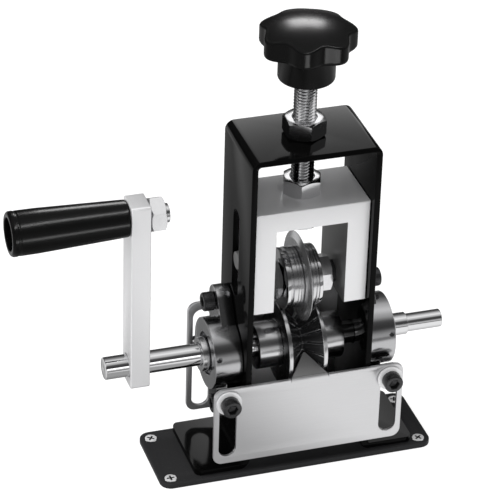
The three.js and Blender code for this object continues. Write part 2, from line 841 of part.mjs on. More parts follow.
for (const [face, front] of [['front', -1], ['back', 1]]) {
  for (const [word, side] of sides) {
    const near = Math.min(front * lugEnd, front * strapHalf);
    const far = Math.max(front * lugEnd, front * strapHalf);
    const from = Math.min(side * (wallOuter + fitGap), side * lugOuter);
    const to = Math.max(side * (wallOuter + fitGap), side * lugOuter);
    const hole = rodY(capScrewRadius + fitGap, near - overrun, far + overrun);
    hole.translate(side * plateScrewX, 0, plateScrewZ);
    const bar = block(from, to, near, far, plateScrewZ - lugHalfHeight, plateScrewZ + lugHalfHeight);
    add(`plate_lug_${face}_${word}`, cut(bar, hole), blackPaint);

    const washer = turnedZ([
      [capScrewRadius + fitGap, 0],
      [washerRadius, 0],
      [washerRadius, washerThickness],
      [capScrewRadius + fitGap, washerThickness],
      [capScrewRadius + fitGap, 0],
    ], ringSides);
    washer.rotateX(-front * quarterTurn);
    add(`plate_washer_${face}_${word}`, washer, whiteZinc)
      .position.set(side * plateScrewX, front * washerFace, plateScrewZ);

    const screw = capScrewZ(capFace - lugEnd);
    screw.rotateX(-front * quarterTurn);
    add(`plate_screw_${face}_${word}`, screw, blackOxide)
      .position.set(side * plateScrewX, front * capFace, plateScrewZ);
  }
}

// Everything that turns with the crank, built about the shaft's axis
const drive = new THREE.Group();
drive.position.z = shaftHeight;
machine.add(drive);

function driveShaft() {
  return turnedX([
    [0, -shaftLeftEnd],
    [shaftRadius - shaftChamfer, -shaftLeftEnd],
    [shaftRadius, -shaftLeftEnd + shaftChamfer],
    [shaftRadius, shaftShoulder - shaftChamfer],
    [drillEndRadius, shaftShoulder],
    [drillEndRadius, shaftRightEnd - shaftChamfer],
    [drillEndRadius - shaftChamfer, shaftRightEnd],
    [0, shaftRightEnd],
  ], roundSides);
}

function feedRoller() {
  const body = turnedX([
    [shaftBore, -rollerHalfLength],
    [rollerHubRadius - rollerEdgeBevel, -rollerHalfLength],
    [rollerHubRadius, -rollerHalfLength + rollerEdgeBevel],
    [rollerHubRadius, -rollerHalfWidth],
    [rollerRadius - rollerEdgeBevel, -rollerHalfWidth],
    [rollerRadius, -rollerHalfWidth + rollerEdgeBevel],
    [rollerRadius, -grooveHalf],
    [rollerGrooveRadius, 0],
    [rollerRadius, grooveHalf],
    [rollerRadius, rollerHalfWidth - rollerEdgeBevel],
    [rollerRadius - rollerEdgeBevel, rollerHalfWidth],
    [rollerHubRadius, rollerHalfWidth],
    [rollerHubRadius, rollerHalfLength - rollerEdgeBevel],
    [rollerHubRadius - rollerEdgeBevel, rollerHalfLength],
    [shaftBore, rollerHalfLength],
    [shaftBore, -rollerHalfLength],
  ], roundSides);
  const apex = rollerGrooveRadius - toothSlotDepth;
  const rim = rollerRadius + overrun;
  const vee = new THREE.Shape();
  vee.moveTo(0, apex);
  vee.lineTo(grooveSlope * (rim - apex), rim);
  vee.lineTo(-grooveSlope * (rim - apex), rim);
  const tools = [];
  for (let i = 0; i < toothSlotCount; i += 1) {
    const tooth = slabY(vee, -toothSlotWidth / 2, toothSlotWidth / 2);
    tooth.rotateX(toothTurn + i * 2 * halfTurn / toothSlotCount);
    tools.push(tooth);
  }
  const screwHole = rodZ(setScrewRadius + fitGap, -rollerHubRadius - overrun, 0, holeSides);
  screwHole.translate(-(rollerHalfLength + rollerHalfWidth) / 2, 0, 0);
  return cut(body, ...tools, screwHole);
}

function rollerSetScrew() {
  const screw = setScrewZ(setScrewRadius, rollerHubRadius - shaftBore - fitGap, setScrewSocket);
  screw.rotateX(halfTurn);
  screw.translate(-(rollerHalfLength + rollerHalfWidth) / 2, 0, -shaftRadius - fitGap);
  return screw;
}

function crankArm() {
  const half = armWidth / 2;
  const outline = roundedRect(-half, half, -armFootReach, crankRadius + armHeadReach, armCorner);
  const bar = new THREE.ExtrudeGeometry(outline, {
    depth: armThickness - 2 * armBevel,
    bevelThickness: armBevel,
    bevelSize: armBevel,
    bevelOffset: -armBevel,
    bevelSegments: 1,
    curveSegments: 2,
  });
  bar.rotateX(quarterTurn);
  bar.rotateZ(quarterTurn);
  bar.translate(-armOuterFace + armBevel, 0, 0);
  const shaftHole = rodX(shaftBore, -armOuterFace - overrun, -armInnerFace + overrun);
  const boltHole = rodX(gripBoltRadius + fitGap, -armOuterFace - overrun, -armInnerFace + overrun);
  boltHole.translate(0, 0, crankRadius);
  const screwHole = rodZ(setScrewRadius + fitGap, -armFootReach - overrun, 0, holeSides);
  screwHole.translate(-(armOuterFace + armInnerFace) / 2, 0, 0);
  return cut(bar, shaftHole, boltHole, screwHole);
}

function armSetScrew() {
  const screw = setScrewZ(setScrewRadius, armFootReach - shaftBore - fitGap, setScrewSocket);
  screw.rotateX(halfTurn);
  screw.translate(-(armOuterFace + armInnerFace) / 2, 0, -shaftRadius - fitGap);
  return screw;
}

// The bolt that the grip turns on, its head sunk in the grip's open end
function handleBolt() {
  const headFace = gripEnd - gripPocketDepth + fitGap;
  const body = turnedX([
    [0, -headFace - gripBoltHeadLength],
    [gripBoltHeadRadius - capBevel, -headFace - gripBoltHeadLength],
    [gripBoltHeadRadius, -headFace - gripBoltHeadLength + capBevel],
    [gripBoltHeadRadius, -headFace],
    [gripBoltRadius, -headFace],
    [gripBoltRadius, -gripBoltTail - capBevel],
    [gripBoltRadius - capBevel, -gripBoltTail],
    [0, -gripBoltTail],
  ], ringSides);
  const socket = hexPrismZ(gripBoltSocket, 0, gripBoltHeadLength / 2 + overrun);
  socket.rotateY(-quarterTurn);
  socket.translate(-headFace - gripBoltHeadLength / 2, 0, 0);
  return cut(body, socket);
}

// The grip swells towards its open outer end
function handleGrip() {
  return turnedX([
    [gripPocketRadius, -gripEnd],
    [gripOuterRadius - gripEdgeRadius, -gripEnd],
    [gripOuterRadius - gripEdgeRadius / 4, -gripEnd + gripEdgeRadius / 3],
    [gripOuterRadius, -gripEnd + gripEdgeRadius],
    [gripInnerRadius, -gripStart - gripEdgeRadius / 2],
    [gripInnerRadius - gripEdgeRadius / 2, -gripStart],
    [gripBoltRadius + runningGap, -gripStart],
    [gripBoltRadius + runningGap, -gripEnd + gripPocketDepth],
    [gripPocketRadius, -gripEnd + gripPocketDepth],
    [gripPocketRadius, -gripEnd],
  ], roundSides);
}

add('drive_shaft', driveShaft(), brightSteel, drive);
add('feed_roller', feedRoller(), brightSteel, drive);
add('roller_set_screw', rollerSetScrew(), blackOxide, drive);
add('crank_arm', crankArm(), whitePaint, drive);
add('arm_set_screw', armSetScrew(), blackOxide, drive);
add('handle_bolt', handleBolt(), zinc, drive).position.z = crankRadius;
add('handle_grip', handleGrip(), satinPlastic, drive).position.z = crankRadius;
const gripNut = nutZ(gripNutWidth, gripNutHeight, gripBoltRadius + fitGap);
gripNut.rotateY(quarterTurn);
add('handle_nut', gripNut, zinc, drive).position.set(-gripNutFace, 0, crankRadius);

// Yoke: a block with an open window for the blade, sliding between the frame's walls
function yoke() {
  const shape = new THREE.Shape();
  shape.moveTo(-yokeHalf, yokeFootHeight);
  shape.lineTo(-windowHalf, yokeFootHeight);
  shape.lineTo(-windowHalf, windowTop);
  shape.lineTo(windowHalf, windowTop);
  shape.lineTo(windowHalf, yokeFootHeight);
  shape.lineTo(yokeHalf, yokeFootHeight);
  shape.lineTo(yokeHalf, yokeTopHeight);
  shape.lineTo(-yokeHalf, yokeTopHeight);
  const bar = new THREE.ExtrudeGeometry(shape, {
    depth: yokeDepth - 2 * yokeBevel,
    bevelThickness: yokeBevel,
    bevelSize: yokeBevel,
    bevelOffset: -yokeBevel,
    bevelSegments: 1,
  });
  bar.rotateX(quarterTurn);
  bar.translate(0, yokeDepth / 2 - yokeBevel, 0);
  const axleHole = rodX(axleRadius + fitGap, -yokeHalf - overrun, yokeHalf + overrun);
  axleHole.translate(0, 0, axleHeight);
  const tools = [rodZ(screwRadius + fitGap, windowTop - overrun, yokeTopHeight + overrun), axleHole];
  for (const [, side] of sides) {
    const from = Math.min(side * (yokeHalf - guidePinDepth - fitGap), side * (yokeHalf + overrun));
    const to = Math.max(side * (yokeHalf - guidePinDepth - fitGap), side * (yokeHalf + overrun));
    const pinHole = rodX(guidePinRadius + fitGap, from, to);
    pinHole.translate(0, 0, guidePinHeight);
    tools.push(pinHole);
  }
  return cut(bar, ...tools);
}

add('yoke', yoke(), whitePaint);
for (const [word, side] of sides) {
  const pin = turnedX([
    [0, yokeHalf - guidePinDepth],
    [guidePinRadius, yokeHalf - guidePinDepth],
    [guidePinRadius, guidePinEnd - capBevel],
    [guidePinRadius - capBevel, guidePinEnd],
    [0, guidePinEnd],
  ], smallSides);
  add(`guide_pin_${word}`, onSide(pin, side), zinc).position.z = guidePinHeight;
}

// Blade axle group, built about the axle's axis
const axle = new THREE.Group();
axle.position.z = axleHeight;
machine.add(axle);

const axleEnd = yokeHalf - fitGap;
add('blade_axle', rodX(axleRadius, -axleEnd, axleEnd, ringSides), blackOxide, axle);
const bush = ringX(axleRadius + fitGap, bushRadius, -leftClampEnd, rightClampEnd, ringSides);
add('blade_bush', bush, bronze, axle);

function cuttingBlade() {
  const half = bladeThickness / 2;
  return turnedX([
    [bladeBoreRadius, -half],
    [bladeRadius - bladeBevelWidth, -half],
    [bladeRadius, -bladeEdge / 2],
    [bladeRadius, bladeEdge / 2],
    [bladeRadius - bladeBevelWidth, half],
    [bladeBoreRadius, half],
    [bladeBoreRadius, -half],
  ], bladeSides);
}

// A clamp ring on the blade's right: bands at full size, with a groove after each
function clampRing(bore, bands, grooves) {
  const floor = clampRadius - clampGrooveDepth;
  const points = [[bore, clampFace]];
  let x = clampFace;
  bands.forEach((band, i) => {
    points.push([clampRadius, x], [clampRadius, x + band]);
    x += band;
    if (grooves[i] > 0) {
      points.push([floor, x], [floor, x + grooves[i]]);
      x += grooves[i];
    }
  });
  points.push([bore, x], [bore, clampFace]);
  return turnedX(points, roundSides);
}

// The left ring carries the sleeve that the blade and the right ring sit on
function clampRingLeft() {
  const bore = bushRadius + fitGap;
  const sleeve = ringX(bore, bore + sleeveWall, -clampFace - overrun, rightClampEnd, ringSides);
  return join(mirrored(clampRing(bore, leftBandWidths, leftGrooveWidths)), sleeve);
}

add('cutting_blade', cuttingBlade(), brightSteel, axle);
add('clamp_ring_left', clampRingLeft(), brightSteel, axle);
add('clamp_ring_right', clampRing(bladeBoreRadius, rightBandWidths, rightGrooveWidths), brightSteel, axle);

for (const [word, side, from, turn] of [
  ['left', -1, leftClampEnd + fitGap, leftNutTurn],
  ['right', 1, rightClampEnd + fitGap, rightNutTurn],
]) {
  const ring = ringX(axleRadius + fitGap, clampRadius, from, from + thrustThickness);
  add(`thrust_ring_${word}`, onSide(ring, side), brightSteel, axle);
  const nut = nutZ(axleNutWidth, axleNutHeight, axleRadius + fitGap, turn);
  nut.rotateY(side * quarterTurn);
  add(`axle_nut_${word}`, nut, zinc, axle).position.x = side * (from + thrustThickness + fitGap);
}

// Adjusting screw group: it turns as one and carries the yoke between its nut and its retainer
function adjustingScrew() {
  return turnedZ([
    [0, screwFoot],
    [screwRadius - shaftChamfer, screwFoot],
    [screwRadius, screwFoot + shaftChamfer],
    [screwRadius, screwTop - shaftChamfer],
    [screwRadius - shaftChamfer, screwTop],
    [0, screwTop],
  ], roundSides);
}

add('adjusting_screw', adjustingScrew(), zinc);
const lowerNut = nutZ(lowerNutWidth, lowerNutHeight, screwRadius + fitGap, lowerNutTurn + quarterTurn);
add('lower_nut', lowerNut, zinc).position.z = lowerNutFoot;
const retainer = cut(
  rodZ(retainerRadius, 0, retainerHeight, roundSides),
  rodZ(screwRadius + fitGap, -overrun, retainerHeight + overrun),
);
add('screw_retainer', retainer, brightSteel).position.z = retainerFoot;

// Star knob: a waved wall, rounded in at its foot, that runs up into one smooth dome
function knobWaveAt(angle) {
  return knobRadius - (knobRadius - knobValleyRadius) * (1 - Math.cos(knobLobes * angle)) / 2;
}

function domeHeight(radius) {
  const share = radius / knobRadius;
  return knobRim + knobDomeRise * (1 - share * share);
}

// Each ring as its radius and height, both worked out from the waved wall's radius
function knobRings() {
  const rings = [];
  for (let i = 0; i <= knobRoundSteps; i += 1) {
    const angle = i * quarterTurn / knobRoundSteps;
    const inset = knobFootRound * (1 - Math.sin(angle));
    const height = knobHeadFoot + knobFootRound * (1 - Math.cos(angle));
    rings.push((wall) => [wall - inset, height]);
  }
  rings.push((wall) => [wall, domeHeight(wall) - knobEdge]);
  for (const share of [1, ...knobDomeShares]) {
    rings.push((wall) => [share * (wall - knobEdge), domeHeight(share * (wall - knobEdge))]);
  }
  return rings;
}

function starHead() {
  const rings = knobRings();
  const positions = [];
  for (const ring of rings) {
    for (let i = 0; i < knobSteps; i += 1) {
      const angle = i * 2 * halfTurn / knobSteps;
      const [radius, z] = ring(knobWaveAt(angle));
      positions.push(radius * Math.cos(angle + knobTurn), radius * Math.sin(angle + knobTurn), z);
    }
  }
  const index = [];
  for (let level = 0; level + 1 < rings.length; level += 1) {
    for (let i = 0; i < knobSteps; i += 1) {
      const a = level * knobSteps + i;
      const b = level * knobSteps + (i + 1) % knobSteps;
      index.push(a, b, a + knobSteps, b, b + knobSteps, a + knobSteps);
    }
  }
  const foot = rings.length * knobSteps;
  const last = foot - knobSteps;
  positions.push(0, 0, knobHeadFoot, 0, 0, domeHeight(0));
  for (let i = 0; i < knobSteps; i += 1) {
    index.push(foot, (i + 1) % knobSteps, i);
    index.push(foot + 1, last + i, last + (i + 1) % knobSteps);
  }
  const head = new THREE.BufferGeometry();
  head.setAttribute('position', new THREE.BufferAttribute(new Float32Array(positions), 3));
  head.setIndex(index);
  return head;
}

function starKnob() {
  const hub = turnedZ([
    [0, knobFoot],
    [knobHubRadius - knobEdge, knobFoot],
    [knobHubRadius, knobFoot + knobEdge],
    [knobHubRadius, knobHeadFoot + overrun],
    [0, knobHeadFoot + overrun],
  ], roundSides);
  const bore = rodZ(screwRadius + fitGap, knobFoot - overrun, screwTop + fitGap);
  return cut(join(starHead(), hub), bore);
}

add('star_knob', starKnob(), glossPlastic);

export default machine;
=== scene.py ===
# %% [markdown]
# # Hand crank wire stripper
# A crank turns a toothed roller under a round blade, and a knob on a screw sets how deep the blade cuts.
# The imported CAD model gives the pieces, the bodies and the joints. This notebook builds the finished looks
# on top of it. Lengths are written in millimetres and become metres when a mesh is made. +X runs along the
# shaft away from the crank, -Y is the front and +Z is up.

import math

import bmesh
import bpy
import numpy as np
from mathutils import Matrix, Vector
from mathutils.geometry import tessellate_polygon


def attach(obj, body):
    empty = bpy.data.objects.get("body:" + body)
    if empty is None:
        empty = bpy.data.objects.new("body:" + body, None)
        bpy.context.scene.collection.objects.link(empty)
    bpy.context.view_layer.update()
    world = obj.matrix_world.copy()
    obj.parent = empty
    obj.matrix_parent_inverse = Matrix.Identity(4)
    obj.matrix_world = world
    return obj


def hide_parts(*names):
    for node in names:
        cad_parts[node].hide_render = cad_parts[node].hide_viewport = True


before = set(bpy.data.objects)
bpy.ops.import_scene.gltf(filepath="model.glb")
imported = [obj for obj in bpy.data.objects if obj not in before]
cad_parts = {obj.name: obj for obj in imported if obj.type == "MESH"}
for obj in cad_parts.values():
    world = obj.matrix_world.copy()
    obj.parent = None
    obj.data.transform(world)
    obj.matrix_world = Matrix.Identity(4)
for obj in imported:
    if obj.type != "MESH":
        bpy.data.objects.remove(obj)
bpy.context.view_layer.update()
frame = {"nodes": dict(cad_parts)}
scene = bpy.context.scene
MM = 0.001
TURN = 2 * math.pi
QUARTER = math.pi / 2

# %% [markdown]
# ## Shared sizes
# Pieces that touch have to agree, so the sizes that more than one of them needs stand here. They are the
# CAD's own values. A piece's other sizes stand beside it, where they are first needed.

# %% Shared sizes
GAP = 0.3
PLATE_THICK = 3.0
WALL_IN, WALL_OUT = 31.55, 34.75
STRAP_HALF = 23.5
FRAME_TOP = 190.0
SHAFT_Z = 64.8
SHAFT_R = 6.0
SHAFT_BORE = SHAFT_R + GAP
GRIP_Z = 154.2
SHAFT_LINE = (0, 0, SHAFT_Z)
AXLE_LINE = (0, 0, 104.8)
GRIP_LINE = (0, 0, GRIP_Z)
SIDES = {"left": -1, "right": 1}
print("strap", 2 * WALL_OUT, "mm wide and", FRAME_TOP, "mm high, shaft at", SHAFT_Z, "mm")

# %% [markdown]
# ## Pieces that ride on the CAD's bodies
# Every piece on view stands for one CAD node, which stays behind it for the physics. So one helper names
# the piece, hides the node, ties the piece to its body and gives it its material. Smooth shading with sharp
# edges by angle keeps flats flat and barrels round. Only the lugs, the ball cages and the set screws keep
# their CAD meshes.

# %% Showing a piece
def show(node, mesh, material, body, sharp=32):
    """Links a mesh as the piece that rides on a CAD body and stands for one CAD node."""
    mesh.materials.append(material)
    mesh.shade_smooth()
    mesh.set_sharp_from_angle(angle=math.radians(sharp))
    piece = bpy.data.objects.new(node + "_look", mesh)
    scene.collection.objects.link(piece)
    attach(piece, body)
    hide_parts(node)
    return mesh


def second_material(mesh, material, chosen):
    """Adds a material and gives it to the faces that chosen(centres, normals) picks."""
    centres, normals = (np.empty(len(mesh.polygons) * 3) for _ in range(2))
    mesh.polygons.foreach_get("center", centres)
    mesh.polygons.foreach_get("normal", normals)
    picked = chosen(centres.reshape(-1, 3), normals.reshape(-1, 3))
    mesh.materials.append(material)
    mesh.polygons.foreach_set("material_index", picked.astype(np.int32))


def dress(node, material, edge=0.3):
    """Keeps a CAD node on view, with a material and a small bevel on its sharp edges."""
    piece = frame["nodes"][node]
    piece.data.materials.clear()
    piece.data.materials.append(material)
    if edge:
        weld = piece.modifiers.new("weld", "WELD")
        weld.merge_threshold = 1e-6
        bevel = piece.modifiers.new("bevel", "BEVEL")
        bevel.width = edge * MM
        bevel.segments = 2
        bevel.limit_method = "ANGLE"
        bevel.angle_limit = math.radians(32)


print("pieces are named after their CAD nodes, such as", next(iter(frame["nodes"])) + "_look")

# %% [markdown]
# ## Turned surfaces
# Most of the tool comes off a lathe. A turned piece is a closed profile carried round an axis, which gives
# a grid of angle by profile point. The whole grid is worked out as arrays. A torus of quads has no poles,
# so even a solid rod is drawn as a ring round a hair-thin core.

# %% Turned surfaces
CORE = 0.02
AXES = {
    "X": lambda along, side, up: (along, side, up),
    "Y": lambda along, side, up: (side, along, up),
    "Z": lambda along, side, up: (side, up, along),
}


def outward(mesh):
    """Joins points that coincide and turns every face of a closed mesh outwards."""
    work = bmesh.new()
    work.from_mesh(mesh)
    bmesh.ops.remove_doubles(work, verts=work.verts, dist=1e-7)
    bmesh.ops.recalc_face_normals(work, faces=work.faces)
    work.to_mesh(mesh)
    work.free()
    return mesh


def ring_mesh(points):
    """Quads over points[row, column] in millimetres. Both directions close, and UVs are their shares."""
    rows, columns = points.shape[:2]
    i, j = np.meshgrid(np.arange(rows), np.arange(columns), indexing="ij")
    i2, j2 = (i + 1) % rows, (j + 1) % columns
    quads = np.stack([i * columns + j, i2 * columns + j, i2 * columns + j2, i * columns + j2], -1)
    mesh = bpy.data.meshes.new("ring")
    mesh.from_pydata((points.reshape(-1, 3) * MM).tolist(), [], quads.reshape(-1, 4).tolist())
    uv = mesh.uv_layers.new(name="UVMap")
    shares = np.stack([
        np.stack([i, i + 1, i + 1, i], -1).reshape(-1) / rows,
        np.stack([j, j, j + 1, j + 1], -1).reshape(-1) / columns,
    ], -1)
    uv.data.foreach_set("uv", shares.astype(np.float32).ravel())
    return outward(mesh)


def soften(profile, radius, steps=3):
    """Rounds each corner of a closed profile: a corner P becomes the curve (1-t)^2 A + 2t(1-t) P + t^2 B."""
    points = np.array(profile, float)
    to_before, to_after = np.roll(points, 1, 0) - points, np.roll(points, -1, 0) - points
    reach_before = np.linalg.norm(to_before, axis=1)
    reach_after = np.linalg.norm(to_after, axis=1)
    cut = np.minimum(radius, 0.45 * np.minimum(reach_before, reach_after))[:, None]
    a = points + to_before / reach_before[:, None] * cut
    b = points + to_after / reach_after[:, None] * cut
    t = np.linspace(0, 1, steps + 1)[None, :, None]
    curve = (1 - t) ** 2 * a[:, None] + 2 * t * (1 - t) * points[:, None] + t ** 2 * b[:, None]
    return curve.reshape(-1, 2)


def turned(profile, axis="X", centre=(0, 0, 0), flip=1, sides=128, edge=0.25):
    """A closed profile of (radius, along) points turned about an axis: side = r cos a, up = r sin a."""
    curve = soften(profile, edge)
    angle = np.arange(sides) * TURN / sides
    radius, along = curve[None, :, 0], curve[None, :, 1] * flip
    side = radius * np.cos(angle)[:, None]
    up = radius * np.sin(angle)[:, None]
    points = np.stack(np.broadcast_arrays(*AXES[axis](along + 0 * side, side, up)), -1)
    return ring_mesh(points + np.array(centre))


def tube(bore, radius, low, high):
    """A plain tube's profile, or with CORE as its bore a rod's."""
    return [(bore, low), (radius, low), (radius, high), (bore, high)]


def ring_stack(rows, angle):
    """Rings about Z from rows of (radius, height), each a number or an array over the angle."""
    radius, z = (np.stack([np.broadcast_to(row[k], angle.shape) for row in rows], 1) for k in (0, 1))
    return np.stack([radius * np.cos(angle)[:, None], radius * np.sin(angle)[:, None], z], -1)


print("a softened tube has", len(soften(tube(SHAFT_R, 2 * SHAFT_R, 0, 10), 0.25)), "points in its profile")

# %% [markdown]
# ## Slabs
# Plates, the arm and the yoke are cut from flat stock. Their outline is a loop of points with true arcs,
# and the slab rises from it with a rounded edge: each level moves the loop inwards by e (1 - sin t) while
# it climbs by e (1 - cos t). Polygon filling closes the two ends, holes included.

# %% Outlines
def arc(centre, radius, start, end, steps=12):
    """Points on a circle from one angle to another, both in degrees."""
    angle = np.radians(np.linspace(start, end, steps + 1))
    return np.column_stack([centre[0] + radius * np.cos(angle), centre[1] + radius * np.sin(angle)])


def circle(centre, radius, steps=48):
    """A closed loop of points round a centre."""
    return arc(centre, radius, 0, 360, steps)[:-1]


def round_rect(x0, x1, y0, y1, r):
    """A rectangle with four quarter circles for corners, from the right edge's lower end."""
    return np.concatenate([
        arc((x1 - r, y0 + r), r, -90, 0), arc((x1 - r, y1 - r), r, 0, 90),
        arc((x0 + r, y1 - r), r, 90, 180), arc((x0 + r, y0 + r), r, 180, 270),
    ])


def slot_loop(x, low, high, width):
    """An upright slot with half-round ends."""
    r = width / 2
    return np.concatenate([arc((x, high - r), r, 0, 180, 20), arc((x, low + r), r, 180, 360, 20)])


def inset_loop(loop, distance):
    """Moves a counter-clockwise loop inwards by distance, each corner along the mean of its two normals."""
    ahead = np.roll(loop, -1, 0) - loop
    normal = np.stack([ahead[:, 1], -ahead[:, 0]], 1)
    normal /= np.linalg.norm(normal, axis=1)[:, None]
    previous = np.roll(normal, 1, 0)
    mitre = (normal + previous) / (1 + (normal * previous).sum(1))[:, None]
    return loop - mitre * distance


def counter_clockwise(loop):
    """The loop in the order that gives it a positive area, (x0 y1 - x1 y0) summed over its edges."""
    loop = np.array(loop, float)
    after = np.roll(loop, -1, 0)
    area = (loop[:, 0] * after[:, 1] - after[:, 0] * loop[:, 1]).sum()
    return loop if area > 0 else loop[::-1]


print("a slot's loop has", len(slot_loop(0, 0, 10, 2)), "points")

# %% Slabs
PLANES = {"XZ": [0, 2, 1], "XY": [0, 1, 2], "YZ": [2, 0, 1]}
SQUARE = 0.01


def slab(outline, holes, low, high, edge=0.4, plane="XZ", steps=3):
    """An outline with holes, extruded from low to high, its edges rounded through a quarter circle."""
    loops = [counter_clockwise(outline)] + [counter_clockwise(hole) for hole in holes]
    signs = [1] + [-1] * len(holes)
    quarter = np.linspace(0, QUARTER, steps + 1)
    rise, shrink = edge * (1 - np.cos(quarter)), edge * (1 - np.sin(quarter))
    levels = [(low + z, s) for z, s in zip(rise, shrink)]
    levels += [(high - z, s) for z, s in zip(rise[::-1], shrink[::-1])]
    vertices, faces, ends, start = [], [], [], 0
    for loop, sign in zip(loops, signs):
        count = len(loop)
        for level, distance in levels:
            flat = inset_loop(loop, sign * distance)
            vertices.append(np.column_stack([flat, np.full(count, level)]))
        i = np.arange(count)
        for k in range(len(levels) - 1):
            a, b = start + k * count, start + (k + 1) * count
            faces += np.column_stack([a + i, a + (i + 1) % count, b + (i + 1) % count, b + i]).tolist()
        ends.append((start, start + (len(levels) - 1) * count, count))
        start += count * len(levels)
    points = np.concatenate(vertices)
    for end in (0, 1):
        index = np.concatenate([entry[end] + np.arange(entry[2]) for entry in ends])
        rings = [[Vector((*points[entry[end] + n][:2], 0)) for n in range(entry[2])] for entry in ends]
        faces += [[int(index[n]) for n in triangle] for triangle in tessellate_polygon(rings)]
    mesh = bpy.data.meshes.new("slab")
    mesh.from_pydata((points[:, PLANES[plane]] * MM).tolist(), [], faces)
    return outward(mesh)


print("slabs lie in", ", ".join(PLANES))

# %% [markdown]
# ## Cuts and broken edges
# Holes that cross a bent or a turned piece are cut with exact booleans, as a drill cuts the real one. A
# boolean modifier works on objects, so the meshes are linked for a moment and removed again.

# %% Cuts and broken edges
def moved(mesh, matrix):
    """The mesh after its points are moved by a matrix in metres."""
    mesh.transform(matrix)
    return mesh


def shift(x, y, z):
    """A move that is given in millimetres."""
    return Matrix.Translation(Vector((x, y, z)) * MM)


def merged(*meshes):
    """One mesh from several, without joining their surfaces."""
    work = bmesh.new()
    for mesh in meshes:
        work.from_mesh(mesh)
    result = bpy.data.meshes.new("merged")
    work.to_mesh(result)
    work.free()
    for mesh in meshes:
        bpy.data.meshes.remove(mesh)
    return result


def carved(mesh, cutters, operation="DIFFERENCE"):
    """The mesh after exact booleans with the cutter meshes, which are used up."""
    target = bpy.data.objects.new("carving", mesh)
    scene.collection.objects.link(target)
    tools = []
    for cutter in cutters:
        tool = bpy.data.objects.new("cutter", cutter)
        scene.collection.objects.link(tool)
        step = target.modifiers.new("cut", "BOOLEAN")
        step.operation = operation
        step.solver = "EXACT"
        step.object = tool
        tools.append(tool)
    bpy.context.view_layer.update()
    result = bpy.data.meshes.new_from_object(target.evaluated_get(bpy.context.evaluated_depsgraph_get()))
    for item in [target, *tools]:
        data = item.data
        bpy.data.objects.remove(item)
        bpy.data.meshes.remove(data)
    return result


def broken(mesh, width, angle=40):
    """The mesh with a small flat on each edge sharper than the angle."""
    work = bmesh.new()
    work.from_mesh(mesh)
    edges = [edge for edge in work.edges if edge.is_manifold and edge.calc_face_angle() > math.radians(angle)]
    bmesh.ops.bevel(work, geom=edges, offset=width * MM, segments=2, profile=0.5, affect="EDGES")
    work.to_mesh(mesh)
    work.free()
    return mesh


ROD_TURNS = {
    "X": Matrix.Rotation(QUARTER, 4, "Y"),
    "Y": Matrix.Rotation(QUARTER, 4, "X"),
    "Z": Matrix.Identity(4),
}


def rod(radius, low, high, axis="X", centre=(0, 0, 0), sides=64):
    """A plain closed cylinder for cutting."""
    work = bmesh.new()
    bmesh.ops.create_cone(work, cap_ends=True, segments=sides, radius1=radius * MM, radius2=radius * MM,
                          depth=(high - low) * MM)
    mesh = bpy.data.meshes.new("rod")
    work.to_mesh(mesh)
    work.free()
    place = Vector(centre)
    place["XYZ".index(axis)] += (low + high) / 2
    return moved(mesh, Matrix.Translation(place * MM) @ ROD_TURNS[axis])


print("rods for cutting can lie along", ", ".join(ROD_TURNS))

# %% [markdown]
# ## Nuts, screws and threads
# Fasteners tell the eye how big the tool is, so they are drawn in full. A nut's corners fall away under a
# 30 degree chamfer, a socket screw has a knurled head and a hexagonal socket, and the thread is a real
# helix. Each is rings about Z whose radius changes with the angle.

# %% Nuts and socket screws
def hex_radius(angle, flats, turn):
    """Distance from the centre to a hexagon's edge: (flats / 2) / cos of the angle off the nearest flat."""
    off = (angle - turn) % (math.pi / 3) - math.pi / 6
    return flats / 2 / np.cos(off)


def nut_mesh(flats, height, bore, turn, sides=144, mouth=0.5):
    """A hex nut on z = 0: its rim falls off beyond the land by the chamfer, z = h - (r - land) tan 30."""
    angle = np.arange(sides) * TURN / sides + turn
    edge = hex_radius(angle, flats, turn)
    land = flats / 2 * 0.97
    fall = (edge - land) * math.tan(math.radians(30))
    rows = [(bore + mouth, 0.0), (land, 0.0), (edge, fall), (edge, height - fall), (land, height),
            (bore + mouth, height), (bore, height - mouth), (bore, mouth)]
    return ring_mesh(ring_stack(rows, angle))


def cap_screw_mesh(length, stem=3.0, head=5.0, flats=5.0, knurls=36, sides=144):
    """An M6 socket screw, head underside on z = 0. The side is r = R + k |sin(n a)|, the top a hex socket."""
    angle = np.arange(sides) * TURN / sides
    waved = head - 0.02 + 0.1 * np.abs(np.sin(knurls / 2 * angle))
    socket = hex_radius(angle, flats, 0)
    height = 6.0
    rows = [
        (CORE, -length), (stem - 0.5, -length), (stem, -length + 0.5), (stem, 0.0),
        (head - 0.4, 0.0), (head, 0.3), (waved, 0.5), (waved, height - 1.1), (head, height - 0.9),
        (head - 0.02, height - 0.5), (head - 0.4, height - 0.12), (head - 0.7, height),
        (socket + 0.35, height), (socket, height - 0.3), (socket, height / 2), (CORE, height / 2 - 0.8),
    ]
    return ring_mesh(ring_stack(rows, angle))


print("a nut 20 mm over its flats is", round(2 * float(hex_radius(0, 20, 0)), 2), "mm over its corners")

# %% Threads
PITCH = 1.75


